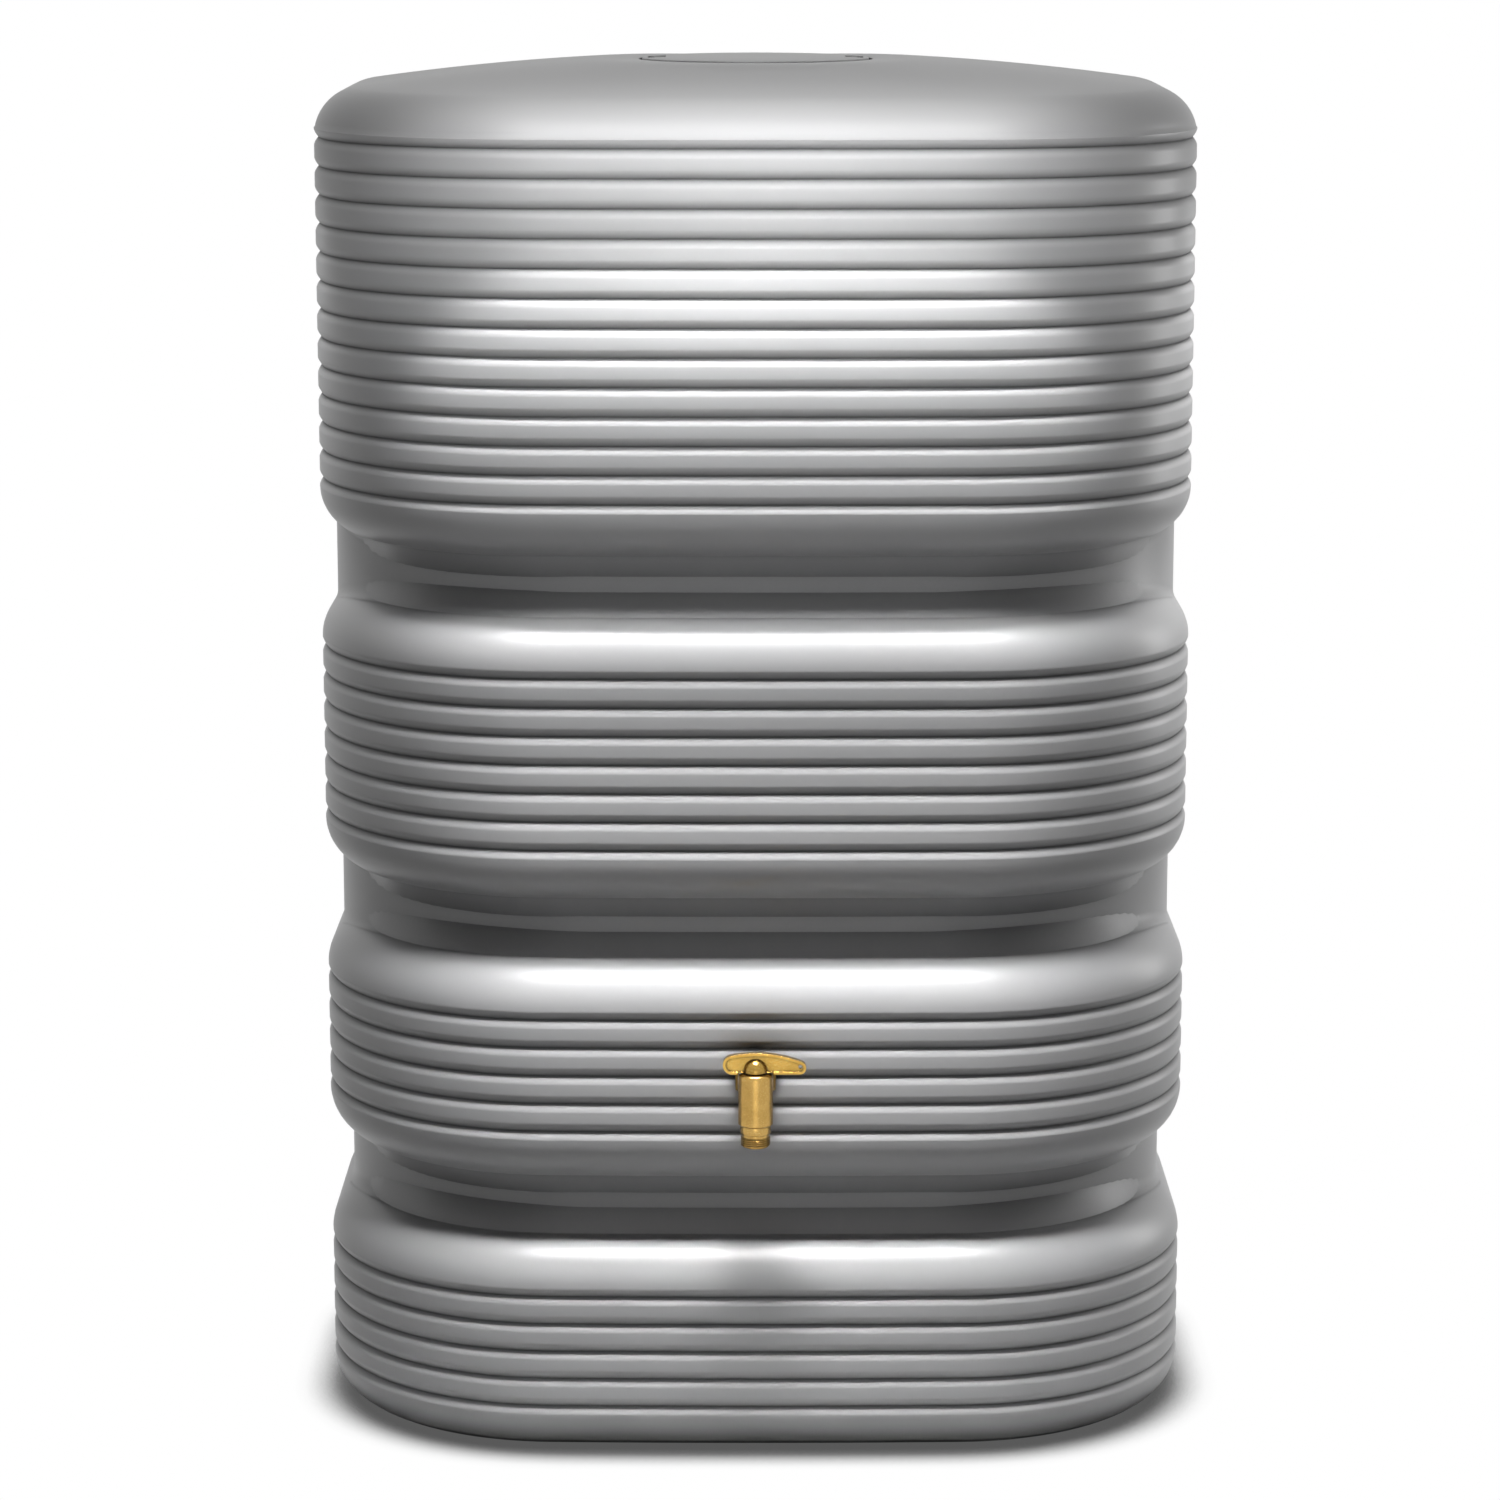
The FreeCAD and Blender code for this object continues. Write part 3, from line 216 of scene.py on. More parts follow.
# moulded plastic: grain, a slow drift of the colour, painted shade as a darker tone where the form is
# hollow, and painted shade darker still at a seam, the bottom of a groove, which is also duller
def plasticMaterial(name, settings):
    material, tree, shader = newMaterial(name)
    shader.inputs["Specular IOR Level"].default_value = settings["specular"]
    grain = node(tree, "ShaderNodeGroup", node_tree=mouldedGrain)
    grain.inputs["Fine Scale"].default_value = settings["fineScale"]
    grain.inputs["Slow Scale"].default_value = settings["slowScale"]
    drift = remap(tree, grain.outputs["Drift"], *settings["driftRange"], 0, 1)
    speckle = remap(tree, grain.outputs["Speckle"], *settings["speckleRange"], *settings["roughness"])
    tone = mixColours(tree, drift, settings["colour"], settings["colourDrift"])
    # painted shade: the colour darkens where the form is hollow
    hollow = opennessOf(tree, settings["paintedHollowShadeReach"])
    paintedHollowShade = remap(tree, hollow, *settings["paintedHollowShadeRange"], settings["paintedHollowShadeDark"], 1.0)
    # painted shade: darker still at the bottom of a groove, which the same mask also makes rougher
    seam = opennessOf(tree, settings["seamReach"])
    paintedSeamShade = remap(tree, seam, *settings["seamRange"], settings["paintedSeamShadeDark"], 1.0)
    seamRough = remap(tree, seam, *settings["seamRange"], settings["seamRough"], 0.0)
    dark = combine(tree, "MULTIPLY", paintedHollowShade, paintedSeamShade)
    link(tree, scaled(tree, tone, dark), shader.inputs["Base Color"])
    link(tree, combine(tree, "ADD", speckle, seamRough), shader.inputs["Roughness"])
    bump = node(tree, "ShaderNodeBump", Strength=settings["bumpStrength"], Distance=settings["bumpDepth"])
    link(tree, grain.outputs["Height"], bump.inputs["Height"])
    link(tree, bump.outputs["Normal"], shader.inputs["Normal"])
    return material


tapCentre = (0, -0.348, 0.357)  # middle of the tap's ball, in metres


# node group: turning marks round the tap's upright axis, from a one-dimensional noise of radius plus
# height, with a cast pebble and a slow wear mask
def turnedMarksGroup():
    group, inlet, outlet, place = newGroup(
        "turnedMarks", ("Ring Scale", "Grain Scale", "Wear Scale"), ("Rings", "Grain", "Wear"))
    centred = node(group, "ShaderNodeVectorMath", operation="SUBTRACT")
    centred.inputs[1].default_value = tapCentre
    link(group, place, centred.inputs[0])
    flat = node(group, "ShaderNodeVectorMath", operation="MULTIPLY")
    flat.inputs[1].default_value = (1, 1, 0)
    link(group, centred.outputs[0], flat.inputs[0])
    radius = node(group, "ShaderNodeVectorMath", operation="LENGTH")
    link(group, flat.outputs[0], radius.inputs[0])
    parts = group.nodes.new("ShaderNodeSeparateXYZ")
    link(group, centred.outputs[0], parts.inputs[0])
    rings = node(group, "ShaderNodeTexNoise", noise_dimensions="1D", Detail=2.0)
    link(group, combine(group, "ADD", radius.outputs["Value"], parts.outputs["Z"]), rings.inputs["W"])
    link(group, inlet.outputs["Ring Scale"], rings.inputs["Scale"])
    grain = node(group, "ShaderNodeTexNoise", Detail=3.0, Roughness=0.6)
    wear = node(group, "ShaderNodeTexNoise", Detail=4.0, Roughness=0.55)
    for texture, scale in ((grain, "Grain Scale"), (wear, "Wear Scale")):
        link(group, place, texture.inputs["Vector"])
        link(group, inlet.outputs[scale], texture.inputs["Scale"])
    for texture, name in ((rings, "Rings"), (grain, "Grain"), (wear, "Wear")):
        link(group, texture.outputs["Fac"], outlet.inputs[name])
    return group


turnedMarks = turnedMarksGroup()


# machined part: ring marks and cast grain as bumps over softly rounded edges, wear in the colour, grain
# in the gloss, and painted shade, a darker tone in hollows
def machinedMaterial(name, settings):
    material, tree, shader = newMaterial(name, Metallic=settings["metallic"])
    shader.inputs["Specular IOR Level"].default_value = settings["specular"]
    marks = node(tree, "ShaderNodeGroup", node_tree=turnedMarks)
    for socket, key in (("Ring Scale", "ringScale"), ("Grain Scale", "grainScale"),
                        ("Wear Scale", "wearScale")):
        marks.inputs[socket].default_value = settings[key]
    wear = remap(tree, marks.outputs["Wear"], *settings["wearRange"], 0, 1)
    tone = mixColours(tree, wear, settings["colour"], settings["worn"])
    # painted shade: the colour darkens where the form is hollow
    hollow = opennessOf(tree, settings["paintedHollowShadeReach"])
    dark = remap(tree, hollow, *settings["paintedHollowShadeRange"], settings["paintedHollowShadeDark"], 1.0)
    if settings["paintedWallShade"] < 1:  # painted shade: darker towards the wall, on the back of the tap body
        place = node(tree, "ShaderNodeSeparateXYZ")
        link(tree, node(tree, "ShaderNodeTexCoord").outputs["Object"], place.inputs[0])
        paintedWallShade = remap(tree, place.outputs["Y"], *settings["paintedWallShadeSpan"], 1.0, settings["paintedWallShade"])
        dark = combine(tree, "MULTIPLY", dark, paintedWallShade)
    link(tree, scaled(tree, tone, dark), shader.inputs["Base Color"])
    rough = remap(tree, marks.outputs["Grain"], *settings["grainRange"], *settings["roughness"])
    link(tree, rough, shader.inputs["Roughness"])
    edge = node(tree, "ShaderNodeBevel", samples=4)
    edge.inputs["Radius"].default_value = settings["edge"]
    normal = edge.outputs["Normal"]
    for mark, strength in (("Grain", "grainStrength"), ("Rings", "ringStrength")):
        bump = node(tree, "ShaderNodeBump", Strength=settings[strength], Distance=settings["bumpDepth"])
        link(tree, marks.outputs[mark], bump.inputs["Height"])
        link(tree, normal, bump.inputs["Normal"])
        normal = bump.outputs["Normal"]
    link(tree, normal, shader.inputs["Normal"])
    return material


# tank shell: one closed surface from the middle of the base, up the outside, over the crown,
# round the sunk neck, down its bore and back along the inside of the wall

tankSettings = {
    "halfWidth": 400.0, "halfDepth": 300.0, "corner": 218.0, "frontArc": 6500.0,
    "firstGroove": 45.5, "pitch": 25.75, "grooveHalf": 7.4, "grooveDepth": 4.3, "lipPower": 1.55,
    "bands": ((0, 4), (10, 14), (20, 26), (32, 44)), "endDrop": 50.5,
    "endRadius": 43.0, "baseRadius": 40.0, "topRadius": 45.0, "topTurn": 80.0, "crownTop": 1249.5,
    "cores": ((385.0, 250.0, 236.0), (391.0, 250.0, 240.0), (391.5, 250.0, 238.0)),
    "lowerFillet": 15.0, "upperFillet": 8.0,
    "rimRadius": 107.5, "rimHeight": 1244.4, "rimLip": 1.2, "levelFrom": 160.0, "levelWidth": 45.0,
    "neckOuter": 92.0, "neckBore": 86.0, "neckTop": 1240.0, "threadPitch": 5.0, "threadDepth": 0.9,
    "moatFloor": 1220.0, "neckFoot": 1214.0, "ringOuter": 113.5, "ringTop": 1239.0,
    "wall": 5.0, "floor": 7.0, "bevel": 23.0, "bevelStart": 8.0, "coreMargin": 30.0,
    "ceiling": 1241.0, "ceilingPower": 1.6,
}


# distance from the axis to a rounded rectangle with bowed front and back, at polar angle phi:
# side x = a, front arc of radius arc through y = b, corner arc tangent to both
def bowedRadius(phi, a, b, corner, arc):
    c, s = np.abs(np.cos(phi)), np.abs(np.sin(phi))
    cornerX = a - corner
    cornerY = (arc - b) - np.sqrt((arc - corner) ** 2 - cornerX * cornerX)
    side = a / np.maximum(c, 1e-9)
    back = -(arc - b)
    half = s * back
    front = half + np.sqrt(np.maximum(half * half - (back * back - arc * arc), 0))
    half = c * cornerX - s * cornerY
    bend = half + np.sqrt(np.maximum(half * half - (cornerX ** 2 + cornerY ** 2 - corner * corner), 0))
    tangentX = cornerX / (arc - corner) * arc
    return np.where(side * s <= -cornerY, side, np.where(front * c <= tangentX, front, bend))


def tankSurface(t):
    quarter = np.radians(np.concatenate([np.arange(0, 60, 1.9), np.linspace(60, 90, 11)]))
    phi = np.concatenate([quarter[:-1], np.pi - quarter[::-1][:-1],
                          np.pi + quarter[:-1], 2 * np.pi - quarter[::-1][:-1]])
    flat = np.zeros_like(phi)

    def ringRadius(inset):
        return bowedRadius(phi, t["halfWidth"] - inset, t["halfDepth"] - inset,
                           np.maximum(t["corner"] - inset, 1), t["frontArc"] - inset)

    # inset of the band outline that reaches the core's outline, found by halving
    def channelInset(core):
        target = bowedRadius(phi, *core, t["frontArc"])
        low, high = flat - 5, flat + 90
        for _ in range(30):
            middle = (low + high) / 2
            outside = ringRadius(middle) > target
            low, high = np.where(outside, middle, low), np.where(outside, high, middle)
        return (low + high) / 2

    rows = []

    def ring(radius, height):
        rows.append((radius + flat, height + flat))

    def station(inset, height):
        ring(ringRadius(inset), height)

    def grooveAt(k):
        return t["firstGroove"] + t["pitch"] * k

    # quarter round of a band end: inset R(1 - cos a), height centre + sign R sin a, a from 0 to limit
    def endArc(centre, radius, limit, sign, steps, opening):
        shares = np.linspace(0, 1, steps + 1)
        for share in shares if opening else shares[::-1]:
            a = limit * share
            station(radius * (1 - np.cos(a)), centre + sign * radius * np.sin(a))

    # angle at which an end arc of radius R meets the hollow round of radius f that leads to the channel
    # wall at inset c: the round's middle lies at inset c - f, so that cos(limit) = (R + f - c) / (R + f)
    def turnLimit(wallInset, radius, size):
        return np.arccos(np.clip((radius + size - wallInset) / (radius + size), -1, 1))

    # hollow round between the end arc and the channel wall
    def fillet(wallInset, centre, radius, limit, size, sign, steps, opening):
        middle = centre + sign * (radius + size) * np.sin(limit)
        shares = np.linspace(1, 0, steps + 1)
        for share in shares if opening else shares[::-1]:
            b = limit * share
            station(wallInset - size + size * np.cos(b), middle - sign * size * np.sin(b))

    # groove section: inset depth (1 - |u|)^p, u = (z - z0) / half mouth
    def grooves(band):
        u = np.array([-1.12, -0.93, -0.6, -0.32, -0.12, 0, 0.12, 0.32, 0.6, 0.93, 1.12])
        for k in range(band[0], band[1] + 1):
            for share in u:
                station(t["grooveDepth"] * max(0, 1 - abs(share)) ** t["lipPower"],
                        grooveAt(k) + share * t["grooveHalf"])

    # outside, from the base up
    base = ringRadius(t["baseRadius"])
    for share in (0.03, 0.35, 0.7, 0.97):
        ring(base * share, 0)
    for a in np.radians(np.linspace(90, 9, 11)):
        station(t["baseRadius"] * (1 - np.cos(a)), t["baseRadius"] * (1 - np.sin(a)))
    for i, band in enumerate(t["bands"]):
        grooves(band)
        if i == len(t["bands"]) - 1:
            break
        radius = t["endRadius"]
        wallInset = channelInset(t["cores"][i])
        centre = grooveAt(band[1]) + t["endDrop"] - radius
        size, limit = t["lowerFillet"], turnLimit(wallInset, radius, t["lowerFillet"])
        endArc(centre, radius, limit, sign=1, steps=14, opening=True)
        fillet(wallInset, centre, radius, limit, size, sign=1, steps=8, opening=True)
        centre = grooveAt(t["bands"][i + 1][0]) - t["endDrop"] + radius
        size, limit = t["upperFillet"], turnLimit(wallInset, radius, t["upperFillet"])
        fillet(wallInset, centre, radius, limit, size, sign=-1, steps=5, opening=False)
        endArc(centre, radius, limit, sign=-1, steps=12, opening=False)
    lastGroove = grooveAt(t["bands"][-1][1])
    for a in np.radians(np.linspace(12, t["topTurn"], 12)):
        station(t["topRadius"] * (1 - np.cos(a)), lastGroove + t["topRadius"] * np.sin(a))
    # crown: z = top - rise rho^2 with rho = r / r at the shoulder, levelled towards the rim of the moat
    # round the neck
    edge, edgeHeight = rows[-1]
    rise = t["crownTop"] - edgeHeight
    for share in np.linspace(0.05, 1, 18) ** 0.9:
        r = edge * (1 - share) + (t["rimRadius"] + t["rimLip"]) * share
        pillow = t["crownTop"] - rise * (r / edge) ** 2
        blend = smoothStep(t["levelFrom"] - r, 0, t["levelWidth"])
        ring(r, pillow * (1 - blend) + t["rimHeight"] * blend)
    # rim, moat, neck, bore
    for radius, height in (
            (t["rimRadius"] + 0.5, t["rimHeight"] - 0.2), (t["rimRadius"] + 0.1, t["rimHeight"] - 0.7),
            (t["rimRadius"], t["rimHeight"] - 1.4), (t["rimRadius"], t["moatFloor"] + 2),
            (t["rimRadius"] - 0.6, t["moatFloor"] + 0.6), (t["rimRadius"] - 2, t["moatFloor"]),
            (t["neckOuter"] + 2, t["moatFloor"]), (t["neckOuter"] + 0.6, t["moatFloor"] + 0.6),
            (t["neckOuter"], t["moatFloor"] + 2)):
        ring(radius, height)
    for height in np.linspace(t["moatFloor"] + 2.6, t["neckTop"] - 1.8, 20):
        ring(t["neckOuter"] - t["threadDepth"] * (1 - toothAt(height, phi, t["threadPitch"])), height)
    for radius, height in (
            (t["neckOuter"] - t["threadDepth"], t["neckTop"] - 1.2),
            (t["neckOuter"] - t["threadDepth"], t["neckTop"] - 0.6),
            (t["neckOuter"] - t["threadDepth"] - 0.6, t["neckTop"]), (t["neckBore"] + 0.6, t["neckTop"]),
            (t["neckBore"], t["neckTop"] - 0.6), (t["neckBore"], t["neckFoot"] + 1),
            (t["neckBore"] + 1, t["neckFoot"]), (t["ringOuter"] - 1, t["neckFoot"]),
            (t["ringOuter"], t["neckFoot"] + 1), (t["ringOuter"], t["ringTop"])):
        ring(radius, height)
    # inside: the larger of a bevelled band and a core, each a wall further in
    skin = t["grooveDepth"] + t["wall"]
    top = lastGroove + t["topRadius"] - t["wall"]
    innerEdge = ringRadius(skin + t["bevel"])
    for share in (0.1, 0.35, 0.65, 0.9):
        r = t["ringOuter"] * (1 - share) + innerEdge * share
        ring(r, t["ceiling"] - (t["ceiling"] - top) * share ** t["ceilingPower"])
    ends = [(0 if i == 0 else grooveAt(a) - t["endDrop"], grooveAt(b) + t["endDrop"])
            for i, (a, b) in enumerate(t["bands"])]
    ends[-1] = (ends[-1][0], lastGroove + t["topRadius"])
    ends = [(low + (t["floor"] if i == 0 else t["wall"]), high - t["wall"])
            for i, (low, high) in enumerate(ends)]
    heights = []
    for low, high in ends:
        heights += [low, low + t["bevelStart"], low + t["bevel"],
                    high - t["bevel"], high - t["bevelStart"], high]
    heights = sorted(heights + [(a[1] + b[0]) / 2 for a, b in zip(ends, ends[1:])], reverse=True)
    for z in heights:
        radius = flat
        for low, high in ends:
            if low <= z <= high:
                inset = skin + max(0, t["bevel"] - (z - low), t["bevel"] - (high - z))
                radius = np.maximum(radius, ringRadius(inset))
        for i, core in enumerate(t["cores"]):
            if ends[i][0] + t["coreMargin"] < z < ends[i + 1][1] - t["coreMargin"]:
                inner = [value - t["wall"] for value in core]
                radius = np.maximum(radius, bowedRadius(phi, *inner, t["frontArc"]))
        ring(radius, z)
    for share in (0.7, 0.35, 0.03):
        ring(rows[-1][0] * share, t["floor"])

    radii = np.stack([row[0] for row in rows])
    heights = np.stack([row[1] for row in rows])
    points = np.stack([radii * np.cos(phi), radii * np.sin(phi), heights], axis=-1) / 1000
    return points.reshape(-1, 3), closedFaces(len(rows), len(phi))


tankPoints, tankFaces = tankSurface(tankSettings)
tankSkin = meshObject("tankSkin", tankPoints, tankFaces, "tank", 42)
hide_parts("tank_shell")

tankLook = {
    "colour": (0.42, 0.42, 0.425), "colourDrift": (0.45, 0.45, 0.455), "roughness": (0.37, 0.44),
    "specular": 0.7, "fineScale": 450.0, "slowScale": 3.0, "driftRange": (0.35, 0.65),
    "speckleRange": (0.3, 0.7), "bumpStrength": 0.035, "bumpDepth": 0.0004,
    # painted shade: the colour darkens in the channels and at the bottoms of the grooves
    "paintedHollowShadeReach": 0.05, "paintedHollowShadeRange": (0.35, 0.85), "paintedHollowShadeDark": 0.25,
    "seamReach": 0.01, "seamRange": (0.5, 0.92), "paintedSeamShadeDark": 0.04, "seamRough": 0.4,
}
tankSkin.data.materials.append(plasticMaterial("silverPlastic", tankLook))
print("stage: tank shell", len(tankPoints))


# screw lid: flat middle, gentle slope, rim and threaded skirt, with a finger grip at each side

lidSettings = {
    "radius": 104.5, "flat": 52.0, "shoulder": 92.0, "top": 1247.0, "slope": 0.02, "rimSlope": 0.06,
    "skirt": 93.0, "foot": 1223.0, "underside": 1243.0, "threadPitch": 5.0, "threadDepth": 0.9,
    "gripFrom": 83.0, "gripTo": 99.0, "gripHalf": 17.0, "gripFloor": 1243.8, "gripHook": 2.2,
    "hookFrom": 93.6, "hookTo": 95.4, "sides": 240,
}


# ramp that starts smoothly at 0: (x + w)^2 / 4w between -w and w, x beyond
def softRamp(x, w):
    return np.where(x < -w, 0, np.where(x > w, x, (x + w) ** 2 / (4 * w)))


# top of the lid: level, then sloping by two soft ramps of the radius; inside the grips it is lowered to
# their floor, which falls again under the hook at the outer end
def lidSurface(t):
    turn = np.linspace(0, 2 * np.pi, t["sides"], endpoint=False)
    rows = []
    radii = np.concatenate([[2, 12, 24, 36, 44], np.linspace(48, 56, 7), [60, 66, 72, 78, 81],
                            np.arange(82, 101.5, 0.6), [102.2, 103, 103.6]])
    for r in radii:
        plain = t["top"] - t["slope"] * softRamp(r - t["flat"], 4)
        plain -= (t["rimSlope"] - t["slope"]) * softRamp(r - t["shoulder"], 1.2)
        x, y = np.abs(r * np.cos(turn)), np.abs(r * np.sin(turn))
        inside = smoothStep(x, t["gripFrom"] - 0.5, t["gripFrom"] + 0.9)
        inside = inside * (1 - smoothStep(x, t["gripTo"] - 0.7, t["gripTo"] + 0.3))
        inside = inside * (1 - smoothStep(y, t["gripHalf"] - 0.7, t["gripHalf"] + 0.7))
        floorHeight = t["gripFloor"] - t["gripHook"] * smoothStep(x, t["hookFrom"], t["hookTo"])
        rows.append((r, plain * (1 - inside) + np.minimum(floorHeight, plain) * inside))
    rim = rows[-1][1]
    rows += [(t["radius"] - 0.45, rim - 0.2), (t["radius"] - 0.12, rim - 0.6), (t["radius"], rim - 1.2),
             (t["radius"], t["foot"] + 0.7),
             (t["radius"] - 0.2, t["foot"] + 0.2), (t["radius"] - 0.7, t["foot"]),
             (t["skirt"] + 1.5, t["foot"]), (t["skirt"] + t["threadDepth"] + 0.1, t["foot"] + 0.3)]
    for h in np.arange(t["foot"] + 0.8, t["underside"] - 1.6, 0.55):
        rows.append((t["skirt"] + t["threadDepth"] * toothAt(h, turn, t["threadPitch"]), h))
    rows += [(t["skirt"], t["underside"] - 0.9), (t["skirt"] - 0.3, t["underside"] - 0.2),
             (t["skirt"] - 1, t["underside"]), (60, t["underside"]), (2, t["underside"])]
    points = turned(rows, t["sides"]) / 1000
    return points.reshape(-1, 3), closedFaces(len(rows), t["sides"])


lidPoints, lidFaces = lidSurface(lidSettings)
screwLid = meshObject("screwLid", lidPoints, lidFaces, "lid", 40)
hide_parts("screw_lid")
# painted shade in the lid's hollows and grooves, over shorter reaches
lidLook = dict(tankLook, colour=(0.40, 0.40, 0.405), colourDrift=(0.43, 0.43, 0.435),
               paintedHollowShadeReach=0.012, seamReach=0.003)
screwLid.data.materials.append(plasticMaterial("lidPlastic", lidLook))
print("stage: lid", len(lidPoints))


# outlet nozzle: the turned sleeve below the tap with its hose thread cut round it

nozzleSettings = {
    "place": (0.0, -348.0, 357.0), "sides": 96, "crest": 13.2, "pitch": 1.814, "threadDepth": 1.15,
    "threadFrom": -43.4, "threadTo": -51.2, "end": -52.5, "collar": 13.6, "relief": 12.2,
    "foot": -32.5, "collarFoot": -40.0, "reliefFoot": -43.0, "bore": 4.5, "lowerBore": 9.0,
    "spigot": ((9.25, -12.0), (9.25, -14.7), (11.5, -14.7), (11.5, -16.15), (10.05, -16.15),
               (10.05, -17.85), (11.5, -17.85)),
    "spigotRadius": 11.5, "leadIn": 1.8, "leadShare": 0.9,
}


# the nozzle's section in rows (r, h) below the tap's centre: spigot in the body, collar, relief, thread
# with a lead-in, then the bores back up
def nozzleSurface(t):
    turn = np.linspace(0, 2 * np.pi, t["sides"], endpoint=False)
    rows = [(t["bore"], t["spigot"][0][1]), *t["spigot"],
            (t["spigotRadius"], t["foot"]), (t["collar"] - 0.5, t["foot"]),
            (t["collar"] - 0.1, t["foot"] - 0.15), (t["collar"], t["foot"] - 0.5),
            (t["collar"], t["collarFoot"] + 0.5), (t["collar"] - 0.15, t["collarFoot"] + 0.12),
            (t["collar"] - 0.5, t["collarFoot"]), (t["relief"], t["collarFoot"]),
            (t["relief"], t["reliefFoot"]), (t["crest"] - 0.7, t["reliefFoot"])]
    for h in np.arange(t["threadFrom"], t["threadTo"], -0.15):
        fade = smoothStep(t["crest"] - (h - t["end"]), t["crest"] - t["leadIn"], t["crest"])
        depth = t["threadDepth"] * (1 - toothAt(h, turn, t["pitch"]))
        rows.append((np.minimum(t["crest"] - depth, t["crest"] - fade * t["leadShare"]), h))
    rows += [(t["crest"] - 1.3, -51.6), (t["crest"] - 1.8, -52.3), (t["crest"] - 2.2, t["end"]),
             (t["lowerBore"] + 0.5, t["end"]), (t["lowerBore"], t["end"] + 0.5),
             (t["lowerBore"], -26.5), (t["bore"], -22.0)]
    points = (turned(rows, t["sides"]) + np.array(t["place"])) / 1000
    return points.reshape(-1, 3), gridFaces(len(rows), t["sides"], joined=True)


nozzlePoints, nozzleFaces = nozzleSurface(nozzleSettings)
hoseNozzle = meshObject("hoseNozzle", nozzlePoints, nozzleFaces, "tank", 50)
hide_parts("outlet_nozzle")

brassLook = {
    "colour": (0.54, 0.345, 0.105), "worn": (0.45, 0.275, 0.075), "metallic": 1.0, "specular": 0.5,
    "roughness": (0.17, 0.3), "ringScale": 2600.0, "grainScale": 1400.0, "wearScale": 60.0,
    "wearRange": (0.38, 0.66), "grainRange": (0.3, 0.7), "ringStrength": 0.14, "grainStrength": 0.1,
    # painted shade: the colour darkens in hollows and, where set below 1, towards the wall
    "bumpDepth": 0.0002, "edge": 0.0007, "paintedHollowShadeReach": 0.03, "paintedHollowShadeRange": (0.3, 0.9),
    "paintedHollowShadeDark": 0.12, "paintedWallShade": 1.0, "paintedWallShadeSpan": (-0.334, -0.326),
}
# painted shade on the back of the tap body, towards the wall
brass = machinedMaterial("turnedBrass", dict(brassLook, paintedWallShade=0.3))
hoseNozzle.data.materials.append(brass)
print("stage: hose nozzle", len(nozzlePoints))


# looks of the carried-over pieces

darkBrassLook = dict(brassLook, colour=(0.40, 0.235, 0.085), worn=(0.30, 0.17, 0.06),
                     roughness=(0.28, 0.42))
handleBrassLook = dict(brassLook, colour=(0.42, 0.27, 0.07), worn=(0.34, 0.21, 0.05), paintedHollowShadeReach=0.008,
                       ringStrength=0.04, grainStrength=0.2)
valveBrassLook = dict(brassLook, colour=(0.55, 0.42, 0.22), worn=(0.44, 0.32, 0.16))
rubberLook = dict(brassLook, colour=(0.022, 0.022, 0.023), worn=(0.035, 0.035, 0.034), metallic=0.0,
                  roughness=(0.55, 0.8), grainStrength=0.5, ringStrength=0.05, edge=0.0003, specular=0.4)
seatLook = dict(rubberLook, colour=(0.82, 0.82, 0.80), worn=(0.76, 0.75, 0.72), roughness=(0.3, 0.45),
                grainStrength=0.15, paintedHollowShadeDark=0.7)
chromeLook = dict(brassLook, colour=(0.72, 0.72, 0.72), worn=(0.66, 0.66, 0.67), roughness=(0.06, 0.14),
                  ringStrength=0.05, grainStrength=0.03)
steelLook = dict(brassLook, colour=(0.45, 0.45, 0.46), worn=(0.36, 0.36, 0.37), roughness=(0.3, 0.45),
                 edge=0.0002)

darkBrass = machinedMaterial("castBrass", darkBrassLook)
handleBrass = machinedMaterial("handleBrass", handleBrassLook)
valveBrass = machinedMaterial("valveBrass", valveBrassLook)
blackRubber = machinedMaterial("blackRubber", rubberLook)
seatPlastic = machinedMaterial("seatPlastic", seatLook)
ballChrome = machinedMaterial("ballChrome", chromeLook)
screwSteel = machinedMaterial("screwSteel", steelLook)


def dressNode(name, material):
    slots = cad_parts[name].data.materials
    slots.clear()
    slots.append(material)


for material, names in (
        (brass, ("tap_body",)), (handleBrass, ("tap_handle",)), (darkBrass, ("tap_insert",)),
        (valveBrass, ("tap_stem",)),
        (blackRubber, ("lid_gasket", "tap_seal", "stem_o_ring", "nozzle_o_ring")),
        (seatPlastic, ("inlet_seat", "outlet_seat", "thrust_washer")),
        (ballChrome, ("tap_ball",)), (screwSteel, ("handle_screw",))):
    for name in names:
        dressNode(name, material)
print("stage: looks of the small pieces")


# stage: pale floor with a painted contact shadow, lamps, world that looks white behind the object

# 1 for camera, glossy and transmission rays, 0 for the rest
def whiteForView(tree):
    path = node(tree, "ShaderNodeLightPath")
    seen = combine(tree, "MAXIMUM", path.outputs["Is Camera Ray"], path.outputs["Is Glossy Ray"])
    return combine(tree, "MAXIMUM", seen, path.outputs["Is Transmission Ray"])


floorSettings = {
    "reach": 30, "diffuse": 0.5, "roughness": 0.9,
    "paintedShadowReach": 0.05, "paintedShadowRange": (0.45, 0.9), "paintedShadowDark": 0.1,
}
reach = floorSettings["reach"]
floorMesh = bpy.data.meshes.new("floor")
floorMesh.from_pydata([(-reach, -reach, 0), (reach, -reach, 0), (reach, reach, 0), (-reach, reach, 0)],
                      [], [(0, 1, 2, 3)])
floor = bpy.data.objects.new("floor", floorMesh)
scene.collection.objects.link(floor)

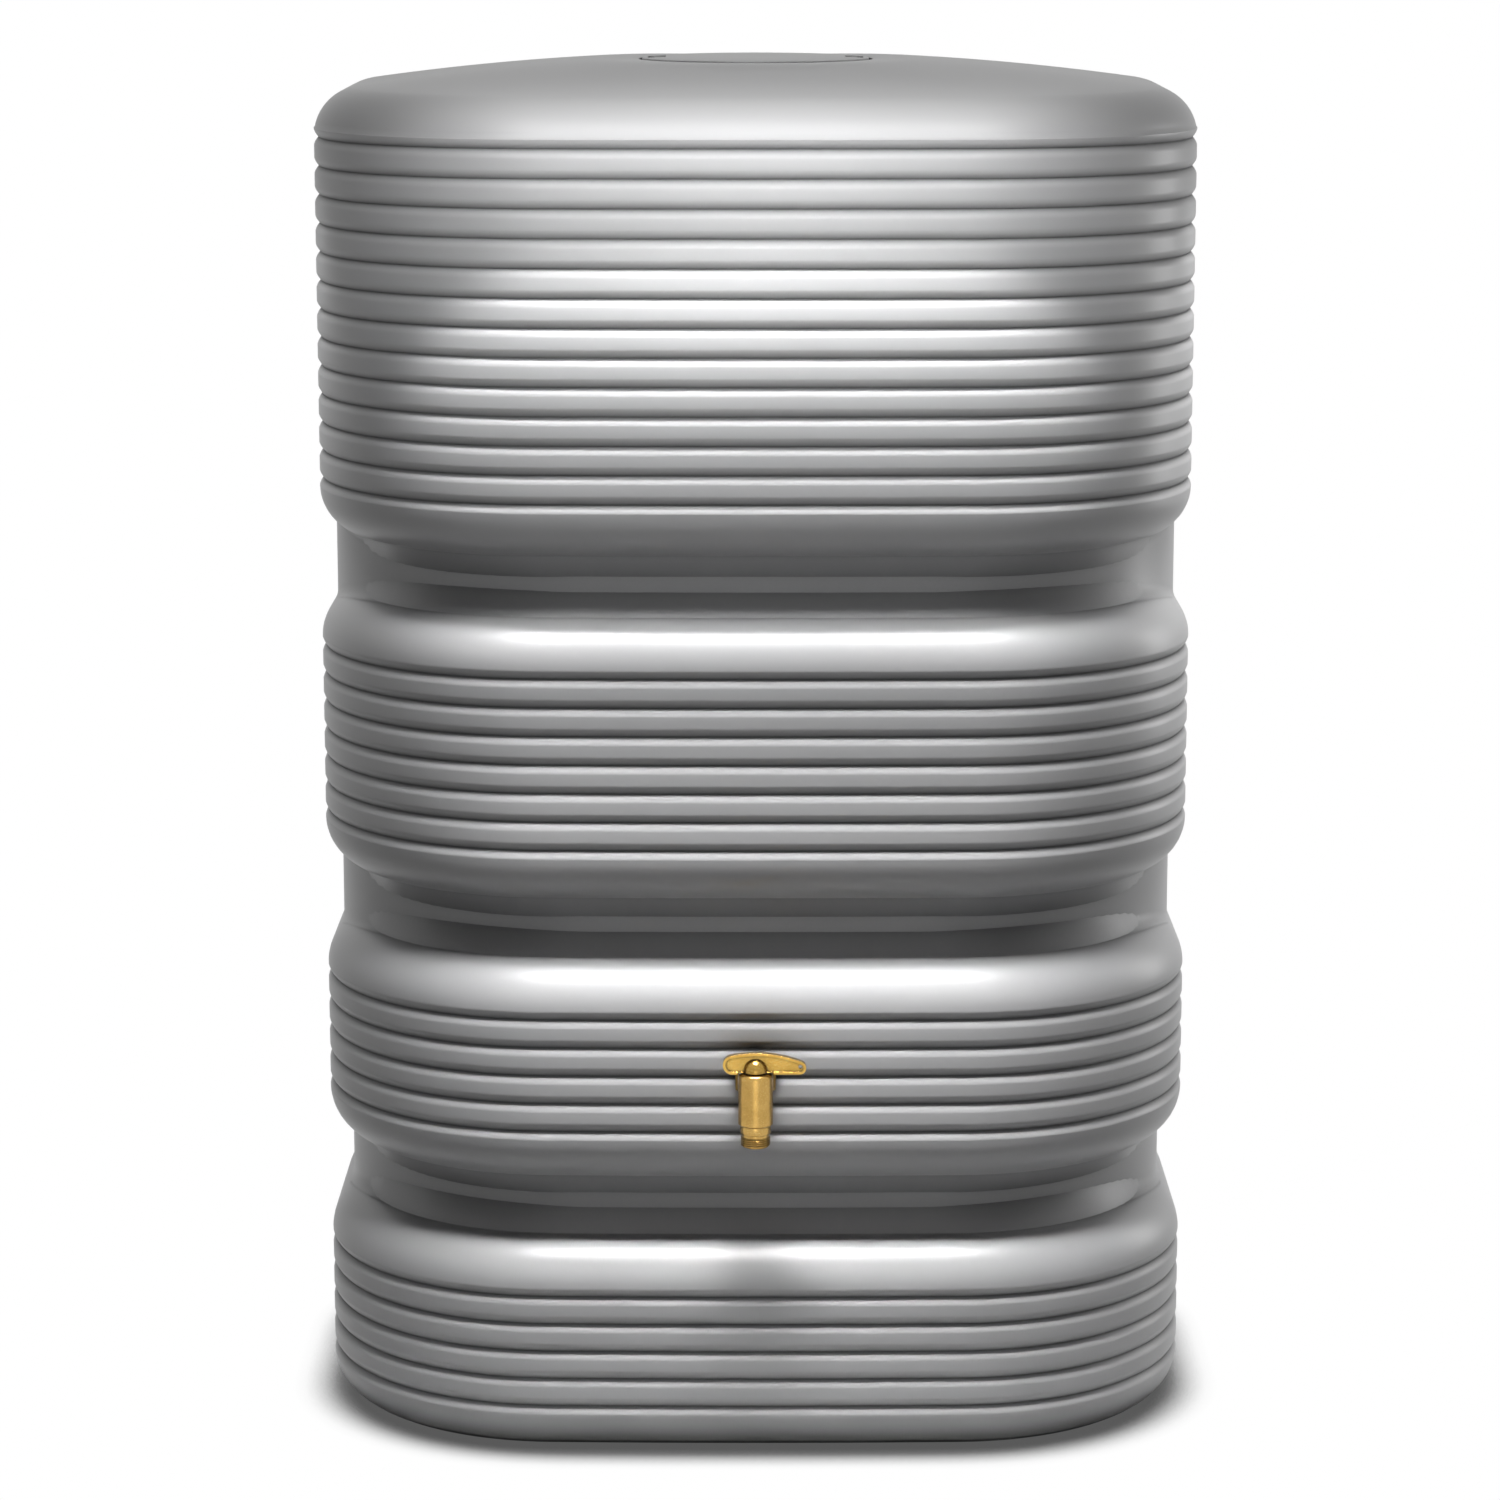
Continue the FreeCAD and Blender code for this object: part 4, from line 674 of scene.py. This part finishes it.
floorMaterial, floorTree, floorShader = newMaterial("paleFloor", Roughness=floorSettings["roughness"])
floorShader.inputs["Base Color"].default_value = (*(floorSettings["diffuse"],) * 3, 1)
floorShader.inputs["Specular IOR Level"].default_value = 0.0
seen = whiteForView(floorTree)
# painted shadow: the white that the camera sees is darkened near the object by ambient occlusion
contact = opennessOf(floorTree, floorSettings["paintedShadowReach"], samples=8)
shade = remap(floorTree, contact, *floorSettings["paintedShadowRange"], floorSettings["paintedShadowDark"], 1.0)
veil = node(floorTree, "ShaderNodeEmission")
link(floorTree, shade, veil.inputs["Strength"])
mix = node(floorTree, "ShaderNodeMixShader")
link(floorTree, seen, mix.inputs[0])
link(floorTree, floorShader.outputs[0], mix.inputs[1])
link(floorTree, veil.outputs[0], mix.inputs[2])
link(floorTree, mix.outputs[0], floorTree.nodes["Material Output"].inputs["Surface"])
floorMesh.materials.append(floorMaterial)

worldStrength = 0.0  # light that the world gives the object, beside the white that shows
world = bpy.data.worlds.new("studio")
scene.world = world
world.use_nodes = True
tree = world.node_tree
background = tree.nodes["Background"]
background.inputs["Color"].default_value = (1, 1, 1, 1)
link(tree, remap(tree, whiteForView(tree), 0, 1, worldStrength, 1.0), background.inputs["Strength"])

# area lamps, of which the shoulder ones are strips close to the tank, one for each band's top edge;
# each lamp: place, point aimed at, size, watts, spread in degrees
lampSettings = {
    "front": ((0.0, -2.4, 1.2), (0, -0.3, 1.1), (0.5, 0.3), 0.14, 30),
    "frontHigh": ((0.0, -2.4, 1.75), (0, -0.3, 1.12), (0.5, 0.12), 0.38, 14),
    "shoulderOne": ((0.0, -0.46, 1.36), (0, -0.28, 1.17), (0.62, 0.04), 0.17, 60),
    "key": ((0.0, -0.9, 3.2), (0, -0.33, 0.3), (1.4, 0.2), 0.3, 30),
    "shoulderTwo": ((0.0, -0.335, 1.16), (0, -0.28, 0.75), (0.64, 0.02), 0.42, 40),
    "shoulderThree": ((0.0, -0.43, 1.15), (0, -0.3, 0.44), (0.62, 0.05), 0.45, 40),
    "shoulderFour": ((0.0, -0.52, 1.15), (0, -0.33, 0.2), (0.62, 0.05), 0.73, 30),
    "rightCorner": ((0.56, -0.22, 1.16), (0.38, -0.12, 0.3), (0.05, 0.3), 0.22, 50),
    "leftCorner": ((-0.56, -0.22, 1.16), (-0.38, -0.12, 0.3), (0.05, 0.3), 0.09, 50),
    "low": ((0.0, -1.4, 0.25), (0, -0.3, 0.6), (0.5, 0.3), 0.33, 120),
    "rightRim": ((2.79, 0.92, 1.07), (0, -0.1, 0.65), (0.5, 1.6), 18, 180),
    "back": ((0.0, 3.2, 1.1), (0, 0.3, 0.62), (0.7, 1.4), 26, 180),
    "ceiling": ((0.0, 0.25, 3.2), (0, 0.15, 1.2), (0.9, 0.9), 0.4, 60),
}
for name, (place, target, size, watts, spread) in lampSettings.items():
    lampData = bpy.data.lights.new(name, "AREA")
    lampData.shape = "RECTANGLE"
    lampData.size, lampData.size_y = size
    lampData.energy = watts
    lampData.spread = math.radians(spread)
    lampObject = bpy.data.objects.new(name, lampData)
    lampObject.location = place
    # a lamp shines along its own -z: tilted from straight down, then turned about the upright axis
    aim = np.array(target, float) - np.array(place, float)
    tilt, turn = math.atan2(math.hypot(aim[0], aim[1]), -aim[2]), math.atan2(-aim[0], aim[1])
    lampObject.rotation_euler = (tilt, 0, turn)
    lampObject.visible_camera = False
    lampObject.visible_glossy = name != "back"  # no glint of the back lamp along the sides
    scene.collection.objects.link(lampObject)
print("stage: studio")
